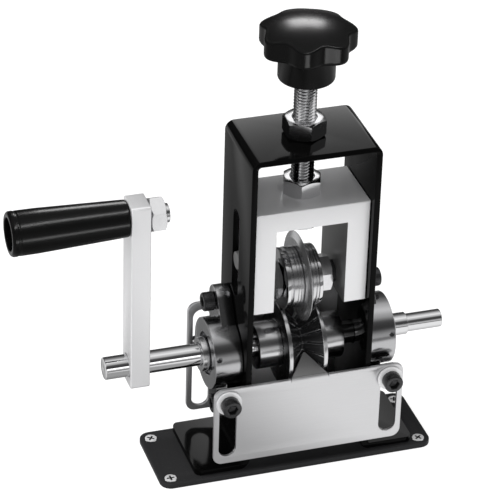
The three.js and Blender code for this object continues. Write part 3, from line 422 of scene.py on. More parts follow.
def threaded_mesh(radius, low, high, depth=0.95, sides=56, per_turn=8, lead=1.2):
    """A right-hand thread: r = R - d tri(z / pitch - a / 2 pi), with tri 0 on the crest and 1 in the root.
    Over the lead at each end the rod tapers by a seventh."""
    rows = int((high - low) / PITCH * per_turn) + 1
    z = np.linspace(low, high, rows)[None, :]
    angle = (np.arange(sides) * TURN / sides)[:, None]
    phase = (z / PITCH - angle / TURN) % 1.0
    root = np.clip(1.25 * (1 - np.abs(2 * phase - 1)) - 0.1, 0, 1)
    full = np.clip((z - low) / lead, 0, 1) * np.clip((high - z) / lead, 0, 1)
    r = (radius - depth * root) * (0.86 + 0.14 * full)
    points = np.stack([r * np.cos(angle), r * np.sin(angle), z + 0 * angle], -1)
    start, end = (points[:, [k]] * np.array([0.004, 0.004, 1.0]) for k in (0, -1))
    return ring_mesh(np.concatenate([start, points, end], 1))


print("thread pitch", PITCH, "mm")

# %% [markdown]
# ## Shader helpers
# A tree of nodes is easier to read as formulas. `feed` writes a number or links an output, `calc` is one
# Math node, `remap` stretches a range and `mixed` blends two colours.

# %% Shader helpers
def feed(tree, socket, value):
    """Links a node's output to a socket, or writes a number or a colour on it."""
    if isinstance(value, bpy.types.NodeSocket):
        tree.links.new(value, socket)
    else:
        socket.default_value = value


def calc(tree, operation, *values):
    """One Math node over outputs and numbers."""
    node = tree.nodes.new("ShaderNodeMath")
    node.operation = operation
    for socket, value in zip(node.inputs, values):
        feed(tree, socket, value)
    return node.outputs[0]


def remap(tree, value, low, high, out_low=0.0, out_high=1.0):
    """Carries the range from low to high over to out_low and out_high, and stops at both."""
    node = tree.nodes.new("ShaderNodeMapRange")
    node.inputs["From Min"].default_value = low
    node.inputs["From Max"].default_value = high
    node.inputs["To Min"].default_value = out_low
    node.inputs["To Max"].default_value = out_high
    tree.links.new(value, node.inputs["Value"])
    return node.outputs["Result"]


def mixed(tree, factor, first, second, blend="MIX"):
    """Blends two colours by a factor."""
    node = tree.nodes.new("ShaderNodeMix")
    node.data_type = "RGBA"
    node.blend_type = blend
    for label, value in (("Factor", factor), ("A", first), ("B", second)):
        feed(tree, node.inputs[label], value)
    return node.outputs["Result"]


def noise(tree, vector, scale, detail, roughness=0.55):
    """Cloudy noise from 0 to 1."""
    node = tree.nodes.new("ShaderNodeTexNoise")
    node.inputs["Detail"].default_value = detail
    node.inputs["Roughness"].default_value = roughness
    feed(tree, node.inputs["Scale"], scale)
    tree.links.new(vector, node.inputs["Vector"])
    return node.outputs["Fac"]


print("helpers:", ", ".join(helper.__name__ for helper in (feed, calc, remap, mixed, noise)))

# %% [markdown]
# ## Grain, scuffs and dust
# No real surface is one flat value. A lathe or a brush leaves fine lines, hands rub soft patches into the
# shine and dust settles on what looks up. These three are node groups, built once and used by several
# materials. Each gives out a mask or a height that changes over the surface, and the shader stays in the
# material.

# %% Grain, scuffs and dust
VECTOR, NUMBER = "NodeSocketVector", "NodeSocketFloat"


def group(name, inputs, output):
    """An empty node group with inputs of (label, kind) and one number out."""
    tree = bpy.data.node_groups.new(name, "ShaderNodeTree")
    for label, kind in inputs:
        tree.interface.new_socket(label, in_out="INPUT", socket_type=kind)
    tree.interface.new_socket(output, in_out="OUTPUT", socket_type=NUMBER)
    given = tree.nodes.new("NodeGroupInput").outputs
    return tree, given, tree.nodes.new("NodeGroupOutput").inputs[output]


def grain_group():
    """Fine parallel lines, as a brush or a lathe tool leaves: noise that the Stretch vector stretches."""
    inputs = [("Vector", VECTOR), ("Stretch", VECTOR), ("Scale", NUMBER)]
    tree, given, height = group("grain", inputs, "Height")
    stretch = tree.nodes.new("ShaderNodeVectorMath")
    stretch.operation = "MULTIPLY"
    tree.links.new(given["Vector"], stretch.inputs[0])
    tree.links.new(given["Stretch"], stretch.inputs[1])
    tree.links.new(noise(tree, stretch.outputs[0], given["Scale"], 6.0, 0.7), height)
    return tree


def scuff_group():
    """Handling marks: soft patches that break up the shine, 0 where clean and 1 where rubbed."""
    tree, given, mask = group("scuffs", [("Vector", VECTOR)], "Mask")
    broad = remap(tree, noise(tree, given["Vector"], 38.0, 3.0), 0.42, 0.72)
    fine = remap(tree, noise(tree, given["Vector"], 420.0, 5.0, 0.7), 0.35, 0.75)
    tree.links.new(calc(tree, "MULTIPLY", broad, fine), mask)
    return tree


def dust_group():
    """Specks and a thin film that gather on faces that look up."""
    tree, given, mask = group("dust", [("Vector", VECTOR)], "Mask")
    split = tree.nodes.new("ShaderNodeSeparateXYZ")
    tree.links.new(tree.nodes.new("ShaderNodeNewGeometry").outputs["Normal"], split.inputs[0])
    upward = remap(tree, split.outputs["Z"], 0.55, 1.0)
    specks = remap(tree, noise(tree, given["Vector"], 900.0, 2.0), 0.62, 0.75)
    tree.links.new(calc(tree, "MULTIPLY", upward, specks), mask)
    return tree


GRAINS, SCUFFS, DUST = grain_group(), scuff_group(), dust_group()
print("node groups:", ", ".join(tree.name for tree in (GRAINS, SCUFFS, DUST)))

# %% [markdown]
# ## One recipe for every finish
# Metal, paint and plastic differ in a few numbers of the Principled shader. The scuffs widen the roughness,
# the grain bends the normals and darkens its own lines a little, and dust lies over the colour. Where a
# finish has neither dust nor dark lines, its colour stays on the shader's own socket.

# %% The finish recipe
DUST_COLOR = (0.5, 0.49, 0.47, 1)
LINE_COLOR = (0.62, 0.62, 0.62, 1)
GRAIN_DEPTH = 0.00005


def surface(name, color, metallic, roughness, spread, grain, bump, dust=0.0, tint=0.0, specular=0.5,
            follows="Object"):
    """A finish. grain is (stretch, scale), spread is added to the roughness where the piece is scuffed, and
    follows says which coordinate the grain keeps to: Object, or UV on a turned piece."""
    material = bpy.data.materials.new(name)
    material.use_nodes = True
    tree = material.node_tree
    shader = next(node for node in tree.nodes if node.type == "BSDF_PRINCIPLED")
    shader.inputs["Metallic"].default_value = metallic
    shader.inputs["Specular IOR Level"].default_value = specular
    places = tree.nodes.new("ShaderNodeTexCoord").outputs

    def use(shared, place):
        node = tree.nodes.new("ShaderNodeGroup")
        node.node_tree = shared
        tree.links.new(place, node.inputs["Vector"])
        return node

    scuffs = use(SCUFFS, places["Object"]).outputs["Mask"]
    tree.links.new(remap(tree, scuffs, 0.0, 1.0, roughness, roughness + spread), shader.inputs["Roughness"])
    lines = use(GRAINS, places[follows])
    lines.inputs["Stretch"].default_value, lines.inputs["Scale"].default_value = grain
    bumps = tree.nodes.new("ShaderNodeBump")
    bumps.inputs["Strength"].default_value = bump
    bumps.inputs["Distance"].default_value = GRAIN_DEPTH
    tree.links.new(lines.outputs["Height"], bumps.inputs["Height"])
    tree.links.new(bumps.outputs["Normal"], shader.inputs["Normal"])
    top = (*color, 1)
    if dust:
        film = use(DUST, places["Object"]).outputs["Mask"]
        top = mixed(tree, remap(tree, film, 0.0, 1.0, 0.0, dust), top, DUST_COLOR)
    if tint:
        shade = remap(tree, lines.outputs["Height"], 0.35, 0.7, 0.0, tint)
        top = mixed(tree, shade, top, LINE_COLOR, "MULTIPLY")
    feed(tree, shader.inputs["Base Color"], top)
    return material


def speckle(scale):
    """Grain with no direction."""
    return (1, 1, 1), scale


LATHE = ((1, 40, 1), 24)
SATIN = ((60, 60, 900), 6)
BRUSH = ((24, 900, 900), 2.2)
print("grains: speckle, lathe, satin and brush")

# %% [markdown]
# ## Black finishes
# The strap is sprayed with a gloss black that shows little but reflections, so its colour is nearly
# nothing. The base plate's black is flatter and greyer. Socket screws are oxidised black in a hot salt
# bath and oiled, and the same dark oxide colour is painted as shade in the roller's groove and the base
# screws' recesses. The inside of the yoke's window, the tongue's upper face and the guide pins get a
# darker steel as painted shade. Knob and grip are moulded plastic.

# %% Black finishes
PAINT = surface("black paint", (0.002, 0.002, 0.002), 0, 0.09, 0.04, speckle(260), 0.02, dust=0.006,
                specular=0.06)
BASE = surface("black base paint", (0.027, 0.027, 0.028), 0, 0.3, 0.08, speckle(260), 0.03, dust=0.02,
               specular=0.06)
# Real oxide on the screws and the axle, and painted shade where it is given to the roller's groove and the
# base screws' recesses.
OXIDE_AND_PAINTED_SHADE = surface("black oxide", (0.06, 0.06, 0.062), 0.85, 0.26, 0.12, speckle(500), 0.08, tint=0.2)
# Painted shade: a darker steel for faces that lie in shade, the yoke's window, the tongue's top and the guide
# pins.
PAINTED_SHADE_STEEL = surface("blackened steel", (0.17, 0.17, 0.17), 0.5, 0.36, 0.06, SATIN, 0.05, tint=0.1)
KNOB = surface("gloss knob plastic", (0.002, 0.002, 0.002), 0, 0.24, 0.06, speckle(220), 0.02, specular=0.06)
GRIP = surface("satin grip plastic", (0.002, 0.002, 0.002), 0, 0.22, 0.06, speckle(300), 0.03, specular=0.06)
print(len(bpy.data.materials), "materials so far")

# %% [markdown]
# ## Silver finishes
# The crank arm and the yoke have a pearly silver coat, half metal and half paint. The nuts and the
# adjusting screw are zinc plated, the base screws and washers are paler zinc, and the guide plates are
# brushed along their length.

# %% Silver finishes
PEARL = surface("satin silver", (0.88, 0.88, 0.89), 0.5, 0.36, 0.06, SATIN, 0.03, tint=0.04, specular=0.2)
ZINC = surface("zinc plate", (0.78, 0.78, 0.79), 1, 0.16, 0.1, speckle(300), 0.06, tint=0.12)
SCREW = surface("white zinc", (0.86, 0.86, 0.87), 0.3, 0.3, 0.1, speckle(300), 0.06, tint=0.1)
BRUSHED = surface("brushed plate", (0.70, 0.70, 0.71), 0.85, 0.3, 0.06, BRUSH, 0.04, tint=0.1, specular=0.3)
print(len(bpy.data.materials), "materials so far")

# %% [markdown]
# ## Turned steel and bronze
# The lathe leaves fine rings, so this grain follows the piece's own UV map: it runs round every turned
# surface, whichever way the piece lies. The shaft is polished, rings and roller are as turned, the housings
# are satin.

# %% Turned steel and bronze
POLISHED = surface("polished steel", (0.78, 0.78, 0.79), 1, 0.05, 0.03, LATHE, 0.06, tint=0.1, follows="UV")
TURNED = surface("turned steel", (0.74, 0.74, 0.75), 1, 0.2, 0.06, LATHE, 0.10, 0.02, tint=0.12, follows="UV")
GROUND = surface("ground steel", (0.62, 0.62, 0.63), 0.85, 0.22, 0.06, LATHE, 0.08, tint=0.12, follows="UV")
HOUSING = surface("satin housing steel", (0.52, 0.52, 0.53), 1, 0.18, 0.06, LATHE, 0.08, 0.04, tint=0.12,
                  follows="UV")
BRONZE = surface("bearing bronze", (0.60, 0.42, 0.20), 1, 0.3, 0.1, LATHE, 0.2, tint=0.2, follows="UV")
print(len(bpy.data.materials), "materials")

# %% [markdown]
# ## Base plate
# A flat plate with rounded corners stands under everything. It is a slab with four holes, and its rounded
# edge catches the thin light line that a painted edge has.

# %% Base plate
PLATE_X = (-80.2, 71.8)
PLATE_Y = (-26.5, 23.5)
SCREW_INSET = 6.0
SCREW_HOLE_R = 3.45
screw_x = (PLATE_X[0] + SCREW_INSET, PLATE_X[1] - SCREW_INSET)
screw_y = (PLATE_Y[0] + SCREW_INSET, PLATE_Y[1] - SCREW_INSET)
plate_holes = [circle((x, y), SCREW_HOLE_R) for x in screw_x for y in screw_y]
base = slab(round_rect(*PLATE_X, *PLATE_Y, SCREW_INSET), plate_holes, 0, PLATE_THICK, 0.4, "XY")
show("base_plate", base, BASE, "frame")
print("base plate", PLATE_X[1] - PLATE_X[0], "by", PLATE_Y[1] - PLATE_Y[0], "mm")

# %% [markdown]
# A countersunk screw sits flush in each corner. The head is turned, and the cross recess is two crossed
# bars cut out of it. The recess is painted dark as shade, since little light reaches its floor, and each
# screw stops at its own angle.

# %% Base screws
STEM_R, HEAD_R = 1.6, 3.2
STEM_TOP, HEAD_EDGE = 1.3, 2.75
RECESS_HALF, RECESS_WIDTH, RECESS_FLOOR = 2.1, 0.5, 2.1
head_profile = [(CORE, GAP), (STEM_R, GAP), (STEM_R, STEM_TOP), (HEAD_R, HEAD_EDGE), (HEAD_R, PLATE_THICK),
                (CORE, PLATE_THICK)]
left_x, right_x = screw_x
front_y, back_y = screw_y
corners = [(left_x, back_y), (left_x, front_y), (right_x, front_y), (right_x, back_y)]


def recess_shade_of(x, y):
    """Picks the recess of the screw at x and y for painted shade: faces below the top, at or above its floor,
    near the axis.
    """
    def chosen(centre, normal):
        reach = np.hypot(*(centre[:, :2] - np.array([x, y]) * MM).T)
        height = centre[:, 2]
        below_top = height < (PLATE_THICK - 0.05) * MM
        return below_top & (height > (RECESS_FLOOR - 0.1) * MM) & (reach < (RECESS_HALF + 0.1) * MM)
    return chosen


for index, (x, y) in enumerate(corners, 1):
    head = turned(head_profile, "Z", (x, y, 0), sides=64, edge=0.15)
    turn = shift(x, y, 0) @ Matrix.Rotation(math.radians(20 + 35 * index), 4, "Z")
    bars = ((RECESS_HALF, RECESS_WIDTH), (RECESS_WIDTH, RECESS_HALF))
    arms = [moved(slab(round_rect(-a, a, -b, b, 0.3), [], RECESS_FLOOR, PLATE_THICK + 1, 0.05, "XY"), turn)
            for a, b in bars]
    head = show("base_screw_%d" % index, carved(head, arms), SCREW, "frame")
    # The recess is painted dark as shade.
    second_material(head, OXIDE_AND_PAINTED_SHADE, recess_shade_of(x, y))
print(len(corners), "base screws")

# %% [markdown]
# ## Strap frame
# One flat bar is bent four times: out at the feet and over at the top. Its edge is one outline in X and Z,
# extruded through the bar's width, so inner and outer bend share a centre as they do on a press. Then the
# shaft's holes, the pins' slots and the screw's hole are cut, and a rounded plan trims the feet's corners.

# %% Strap frame
BAR_THICK = WALL_OUT - WALL_IN
INNER_BEND = 1.8
OUTER_BEND = INNER_BEND + BAR_THICK
FOOT_LOW = PLATE_THICK + GAP
FOOT_REACH = 61.0
FOOT_CORNER = 4.0
FRAME_HOLE_R = 6.6
PIN_SLOT_LOW, PIN_SLOT_HIGH, PIN_SLOT_WIDTH = 99.0, 150.0, 10.5
SPARE = 5
CUT_REACH = 3


def strap_outline():
    """The bent bar's edge in X and Z: over the outside from foot to foot, and back along the inside."""
    foot_bend = (WALL_IN + OUTER_BEND, FOOT_LOW + OUTER_BEND)
    top_bend = (WALL_OUT - OUTER_BEND, FRAME_TOP - OUTER_BEND)
    foot_end = [(FOOT_REACH, FOOT_LOW), (FOOT_REACH, FOOT_LOW + BAR_THICK)]
    up_the_wall = [arc(foot_bend, INNER_BEND, 270, 180, 8), arc(top_bend, OUTER_BEND, 0, 90, 14)]
    down_the_wall = [arc(top_bend, INNER_BEND, 90, 0, 8), arc(foot_bend, OUTER_BEND, 180, 270, 14)]
    outside, inside = np.concatenate([foot_end, *up_the_wall]), np.concatenate(down_the_wall)
    mirror = np.array([-1, 1])
    return np.concatenate([outside, outside[::-1] * mirror, inside[::-1] * mirror, inside])


strap = slab(strap_outline(), [], -STRAP_HALF, STRAP_HALF, 0.45, "XZ")
cutters = []
for side in SIDES.values():
    middle = side * (WALL_IN + WALL_OUT) / 2
    cutters.append(rod(FRAME_HOLE_R, middle - CUT_REACH, middle + CUT_REACH, "X", SHAFT_LINE))
    pin_slot = slot_loop(0, PIN_SLOT_LOW, PIN_SLOT_HIGH, PIN_SLOT_WIDTH)
    cutters.append(slab(pin_slot, [], middle - CUT_REACH, middle + CUT_REACH, SQUARE, "YZ", 1))
cutters.append(rod(FRAME_HOLE_R, FRAME_TOP - 2 * SPARE, FRAME_TOP + SPARE, "Z"))
plan = round_rect(-FOOT_REACH, FOOT_REACH, -STRAP_HALF, STRAP_HALF, FOOT_CORNER)
plan = slab(plan, [], -1, FRAME_TOP + SPARE, SQUARE, "XY", 1)
strap = carved(carved(strap, cutters), [plan], "INTERSECT")
show("frame_strap", strap, PAINT, "frame")
print("frame strap with", len(strap.polygons), "faces")

# %% [markdown]
# A thick nut is fixed on the frame's top for the adjusting screw, and the lugs that hold the guide plates'
# screws are plain blocks, whose CAD shape only needs paint and a small bevel.

# %% Top nut and lugs
TOP_NUT_FLATS, TOP_NUT_HEIGHT, TOP_NUT_BORE = 20.0, 9.6, 6.15
top_nut = moved(nut_mesh(TOP_NUT_FLATS, TOP_NUT_HEIGHT, TOP_NUT_BORE, QUARTER), shift(0, 0, FRAME_TOP + GAP))
show("top_nut", top_nut, ZINC, "frame")
lugs = [node for node in frame["nodes"] if node.startswith("plate_lug")]
for node in lugs:
    dress(node, PAINT)
print("top nut and", len(lugs), "lugs")

# %% [markdown]
# ## Bearing housings
# A housing is a turned barrel with a seat for the bearing, a recess for the shaft collar and an oil hole,
# and it has two ears, tilted so that their screws clear the frame's slots. An ear's outline is the tip
# circle and the straight flanks that touch both it and the barrel's waist. The right housing is the left
# one's mirror image.

# %% Bearing housings
HOUSING_FACE = WALL_OUT + GAP
HOUSING_TILT = math.radians(20)
HOUSING_R, HOUSING_LEN = 19.3, 15.0
WAIST_R, EAR_R, EAR_THICK, EAR_HOLE_R = 14.6, 8.5, 8.0, 3.3
BOLT_REACH = 27.6
SEAT_R, SEAT_DEPTH = 14.3, 8.7
RECESS_R, RECESS_START = 11.6, 11.4
BARREL_BORE = 6.8
OIL_HOLE_R, OIL_HOLE_INSET = 1.6, 2.2
OIL_HOLE_OUT, OIL_HOLE_IN = -22.0, -16.3
barrel_profile = [(SEAT_R, 0), (HOUSING_R, 0), (HOUSING_R, HOUSING_LEN), (RECESS_R, HOUSING_LEN),
                  (RECESS_R, RECESS_START), (BARREL_BORE, RECESS_START), (BARREL_BORE, SEAT_DEPTH),
                  (SEAT_R, SEAT_DEPTH)]


def ear_loop(up):
    """One ear in Y and Z before the tilt. Its flanks lean by asin((waist - tip) / reach)."""
    lean = math.asin((WAIST_R - EAR_R) / BOLT_REACH)
    tip = arc((0, BOLT_REACH), EAR_R, math.degrees(lean), 180 - math.degrees(lean), 24)
    wide, high = WAIST_R * math.cos(lean), WAIST_R * math.sin(lean)
    return np.concatenate([tip, [(-wide, high), (wide, high)]]) * [1, up]


def housing_mesh(side):
    """Barrel and ears, turned back by the tilt and set against one wall of the frame."""
    hole = rod(OIL_HOLE_R, OIL_HOLE_OUT, OIL_HOLE_IN, "Y", (HOUSING_LEN - OIL_HOLE_INSET, 0, 0), 32)
    barrel = carved(turned(barrel_profile, "X", sides=160, edge=0.55), [hole])
    ears = [slab(ear_loop(up), [circle((0, up * BOLT_REACH), EAR_HOLE_R)], 0, EAR_THICK, 0.5, "YZ")
            for up in (1, -1)]
    place = shift(side * HOUSING_FACE, 0, SHAFT_Z) @ Matrix.Scale(side, 4, (1, 0, 0))
    return outward(moved(merged(barrel, *ears), place @ Matrix.Rotation(-HOUSING_TILT, 4, "X")))


print("a housing's barrel is", 2 * HOUSING_R, "mm across")

# %% [markdown]
# Inside each housing a ball bearing carries the shaft. Its rings are tubes, and its cage of balls keeps the
# CAD shape, because it is hardly seen. A clamped collar outside keeps the shaft from sliding.

# %% Bearings and collars
BEARING_WIDTH = 8.0
OUTER_RING, INNER_RING = (12.6, 14.0), (SHAFT_BORE, 7.8)
COLLAR_R, COLLAR_LEN = 9.3, 7.0
ring_face = HOUSING_FACE + GAP
collar_face = HOUSING_FACE + RECESS_START + GAP


def show_bearing(word, side):
    """The ball bearing and the collar of one side."""
    centre = (side * ring_face, 0, SHAFT_Z)
    outer = turned(tube(*OUTER_RING, 0, BEARING_WIDTH), "X", centre, side, 96)
    show("bearing_outer_ring_" + word, outer, POLISHED, "frame")
    inner = turned(tube(*INNER_RING, 0, BEARING_WIDTH), "X", centre, side, 96)
    show("bearing_inner_ring_" + word, inner, POLISHED, "drive")
    dress("ball_cage_" + word, POLISHED, 0)
    centre = (side * collar_face, 0, SHAFT_Z)
    collar = turned(tube(SHAFT_BORE, COLLAR_R, 0, COLLAR_LEN), "X", centre, side, 112, 0.6)
    show("shaft_collar_" + word, collar, TURNED, "drive")


print("collars start", round(collar_face, 2), "mm out")

# %% [markdown]
# Two socket screws hold each housing. They point along the shaft, so each is built upright and then laid
# over. With that, everything on one side of the frame is at hand, and one loop builds both sides.

# %% Both sides of the frame
bolt_face = HOUSING_FACE + EAR_THICK + GAP
bolt_length = HOUSING_FACE + EAR_THICK - WALL_IN


def show_housing_bolts(word, side):
    """The upper and the lower socket screw of one side, on the tilted line of the ears."""
    for end, up in (("upper", 1), ("lower", -1)):
        y = up * BOLT_REACH * math.sin(HOUSING_TILT)
        z = SHAFT_Z + up * BOLT_REACH * math.cos(HOUSING_TILT)
        place = shift(side * bolt_face, y, z) @ Matrix.Rotation(side * QUARTER, 4, "Y")
        bolt = moved(cap_screw_mesh(bolt_length), place)
        show("housing_bolt_%s_%s" % (word, end), bolt, OXIDE_AND_PAINTED_SHADE, "frame")


for word, side in SIDES.items():
    show("bearing_housing_" + word, housing_mesh(side), HOUSING, "frame", 28)
    show_bearing(word, side)
    show_housing_bolts(word, side)
print("two housings, held by screws", round(bolt_length, 2), "mm long")

# %% [markdown]
# ## Shaft
# The shaft runs through both housings, long on the crank's side, and ends in a narrower stub on the other.
# It and everything on it turn with the body `drive`.

# %% Shaft
SHAFT_START, STUB_START, SHAFT_END = -105.5, 62.0, 82.0
STUB_R = 4.9
shaft_profile = [(CORE, SHAFT_START), (SHAFT_R, SHAFT_START), (SHAFT_R, STUB_START), (STUB_R, STUB_START),
                 (STUB_R, SHAFT_END), (CORE, SHAFT_END)]
shaft = turned(shaft_profile, "X", SHAFT_LINE, edge=0.8)
show("drive_shaft", shaft, POLISHED, "drive")
print("shaft", SHAFT_END - SHAFT_START, "mm long")

# %% [markdown]
# ## Feed roller
# A V groove with milled slots drags the work along under the blade. Cutting twenty slots with booleans
# would be slow and rough, so the surface itself carries them: the radius of the groove's flanks drops by
# the slot's depth wherever the angle falls inside a slot, and two samples close together at each side make
# its wall steep.

# %% Feed roller
TEETH = 20
TOOTH_TURN = 3.3
SLOT_START = 0.24 + TOOTH_TURN * TEETH / 360
SLOT_SAMPLES = (0.0, 0.13, 0.2, 0.205, 0.315, 0.32, 0.39, 0.5, 0.75)
SLOT_DEPTHS = (0, 0, 0.3, 1, 1, 0.3, 0, 0, 0)
RIM_R, ROOT_R, HUB_R = 22.8, 11.5, 12.6
ROLLER_HALF, ROLLER_REACH, LAND = 10.7, 23.5, 2.3
GROOVE_HALF = ROLLER_HALF - LAND
FLANK_DEPTH, ROOT_DEPTH = 1.15, 0.9


def roller_mesh():
    """Rings about X. In the V, radius = flank - depth in_slot(angle), and in_slot is 1 inside a slot."""
    tooth = TURN / TEETH
    share = np.array(SLOT_SAMPLES) + SLOT_START
    angle = (np.arange(TEETH)[:, None] * tooth + (share * tooth)[None, :]).ravel()
    in_slot = np.tile(SLOT_DEPTHS, TEETH).astype(float)
    hub = [(SHAFT_BORE, -ROLLER_REACH), (HUB_R - 0.5, -ROLLER_REACH), (HUB_R - 0.15, -ROLLER_REACH + 0.15),
           (HUB_R, -ROLLER_REACH + 0.5), (HUB_R, -ROLLER_HALF - 0.3), (HUB_R + 0.3, -ROLLER_HALF)]
    rim = [(RIM_R - 0.5, -ROLLER_HALF), (RIM_R - 0.15, -ROLLER_HALF + 0.15), (RIM_R, -ROLLER_HALF + 0.5),
           (RIM_R, -GROOVE_HALF - 0.25), (RIM_R - 0.2, -GROOVE_HALF)]
    flank = [(RIM_R - 0.2 - (RIM_R - ROOT_R) * t, -GROOVE_HALF * (1 - t))
             for t in np.linspace(0.02, 0.98, 10)]
    left = hub + rim + flank
    full = left + [(ROOT_R, 0.0)] + [(r, -x) for r, x in left[::-1]]
    plain = [0.0] * len(hub + rim)
    slotted = [FLANK_DEPTH] * len(flank)
    depth = np.array(plain + slotted + [ROOT_DEPTH] + slotted + plain)
    radius = np.array([r for r, _ in full])[None, :] - depth[None, :] * in_slot[:, None]
    along = np.array([x for _, x in full])[None, :] + 0 * radius
    points = np.stack([along, radius * np.cos(angle)[:, None], radius * np.sin(angle)[:, None] + SHAFT_Z], -1)
    return ring_mesh(points)


roller = show("feed_roller", roller_mesh(), TURNED, "drive", 24)
print("roller with", TEETH, "slots and", len(roller.polygons), "faces")

# %% [markdown]
# The groove, its slots and the roller's outer faces are painted dark as shade, and the slots' broken
# edges are left out of it so that they stay bright. Picking faces by where they lie round the shaft needs
# no image and follows the roller as it turns.

# %% Painted shade in the groove
SLOT_MIDDLE = 0.26
EDGE_FROM, EDGE_TO = 0.05, 0.135


def painted_shade(centre, normal):
    """Faces for painted shade: the V and the two outer faces, apart from the broken edges of the slots."""
    y, z = centre[:, 1], centre[:, 2] - SHAFT_Z * MM
    share = (np.arctan2(z, y) / TURN * TEETH - SLOT_START) % 1.0
    off = np.abs(share - SLOT_MIDDLE)
    edge = (off > EDGE_FROM) & (off < EDGE_TO)
    radius, x = np.hypot(y, z), np.abs(centre[:, 0])
    in_v = (x < (GROOVE_HALF + 0.05) * MM) & (radius < (RIM_R - 0.2) * MM)
    near_face = (x > (ROLLER_HALF - 0.7) * MM) & (x < (ROLLER_HALF + 0.3) * MM)
    return (in_v & ~edge) | ((np.abs(normal[:, 0]) > 0.9) & near_face)


# Painted shade: the groove, its slots and the outer faces take the dark oxide colour, and the slots' edges
# stay bright.
second_material(roller, OXIDE_AND_PAINTED_SHADE, painted_shade)
for node in ("roller_set_screw", "arm_set_screw"):
    dress(node, OXIDE_AND_PAINTED_SHADE, 0)
print("groove blackened, set screws dressed")

# %% [markdown]
# ## Crank arm and grip
# The arm is a rounded bar. The grip is a tapered plastic tube with a bead and a shallow groove at its open
# end, and it turns on a bolt whose head is sunk inside. A nut on the arm's far side holds the bolt.

# %% Crank arm
ARM_OUT, ARM_IN = -92.9, -82.5
ARM_HALF, ARM_CORNER = 8.0, 1.6
ARM_BELOW, ARM_ABOVE = 10.5, 9.2
arm_outline = round_rect(-ARM_HALF, ARM_HALF, SHAFT_Z - ARM_BELOW, GRIP_Z + ARM_ABOVE, ARM_CORNER)
arm = slab(arm_outline, [circle((0, SHAFT_Z), SHAFT_BORE)], ARM_OUT, ARM_IN, 0.6, "YZ", 4)
show("crank_arm", arm, PEARL, "drive")
print("crank throw", round(GRIP_Z - SHAFT_Z, 1), "mm")

# %% Grip, bolt and nut
GRIP_START, GRIP_END = -154.9, -93.3
GRIP_BORE, MOUTH_R, MOUTH_END = 5.4, 8.6, -142.9
BEAD_R, GROOVE_R = 11.7, 11.45
BOLT_R, BOLT_HEAD_R, BOLT_SOCKET_R = 5.0, 7.4, 3.9
BOLT_HEAD_START, BOLT_HEAD_END, BOLT_SOCKET_END, BOLT_END = -149.2, -143.2, -147.4, -71.6
grip_profile = [(MOUTH_R, GRIP_START), (BEAD_R - 0.9, GRIP_START), (BEAD_R, GRIP_START + 1),
                (BEAD_R, GRIP_START + 3.1), (GROOVE_R, GRIP_START + 3.6), (GROOVE_R, GRIP_START + 4.2),
                (BEAD_R - 0.1, GRIP_START + 4.7), (BEAD_R - 0.2, GRIP_START + 14.9), (9.75, GRIP_END - 2.2),
                (9.6, GRIP_END), (GRIP_BORE, GRIP_END), (GRIP_BORE, MOUTH_END), (MOUTH_R, MOUTH_END)]
bolt_profile = [(CORE, BOLT_SOCKET_END), (BOLT_SOCKET_R, BOLT_SOCKET_END), (BOLT_SOCKET_R, BOLT_HEAD_START),
                (BOLT_HEAD_R, BOLT_HEAD_START), (BOLT_HEAD_R, BOLT_HEAD_END), (BOLT_R, BOLT_HEAD_END),
                (BOLT_R, BOLT_END), (CORE, BOLT_END)]
show("handle_grip", turned(grip_profile, "X", GRIP_LINE, 1, 160, 0.8), GRIP, "grip")
show("handle_bolt", turned(bolt_profile, "X", GRIP_LINE, 1, 96, 0.4), ZINC, "drive")
GRIP_NUT_FLATS, GRIP_NUT_HEIGHT = 17.0, 8.0
nut_place = shift(ARM_IN + GAP, 0, GRIP_Z) @ Matrix.Rotation(QUARTER, 4, "Y")
nut = moved(nut_mesh(GRIP_NUT_FLATS, GRIP_NUT_HEIGHT, BOLT_R + 0.1, 0.0), nut_place)
show("handle_nut", nut, ZINC, "drive")
print("grip", round(GRIP_END - GRIP_START, 1), "mm long")

# %% [markdown]
# ## Guide plates
# A plate in front and a taller one behind keep the work in line. Both are brushed slabs with a slot at each
# end, so that they can be set to a height and clamped.

# %% Guide plate sizes
GUIDE_HALF, GUIDE_CORNER = 52.5, 5.0
GUIDE_IN, GUIDE_OUT = 23.8, 25.8
GUIDE_THICK = GUIDE_OUT - GUIDE_IN
CLAMP_X, CLAMP_Z = 44.8, 49.4
GUIDE_SLOT_LOW, GUIDE_SLOT_WIDTH = 15.0, 9.5
FRONT_LOW, FRONT_HIGH, FRONT_SLOT_HIGH = 10.5, 57.2, 54.15
BACK_LOW, BACK_HIGH, BACK_SLOT_HIGH = 12.4, 80.9, 76.4
TONGUE_FOOT = FRONT_HIGH - 1.3


def guide_slots(high):
    """The slots at both ends, from the shared lower end up to high."""
    return [slot_loop(side * CLAMP_X, GUIDE_SLOT_LOW, high, GUIDE_SLOT_WIDTH) for side in SIDES.values()]


print("guide plates", 2 * GUIDE_HALF, "mm long and", GUIDE_THICK, "mm thick")

# %% [markdown]
# From the front plate's top edge a pointed tongue bends back into the roller's groove and leads the work to
# the blade. A bent strip is easy to draw from the side and a point from above, so the tongue is the part
# that a strip and a wedge have in common. It grows from a notch in the plate, and its upper face gets a
# darker steel as painted shade.

# %% Tongue and front plate
TONGUE_LEAN = math.radians(54)
TONGUE_BEND, TONGUE_REACH, TONGUE_ROOT = 3.5, 12.3, 4.0
TIP_HALF, TONGUE_SLOPE = 0.5, 0.87


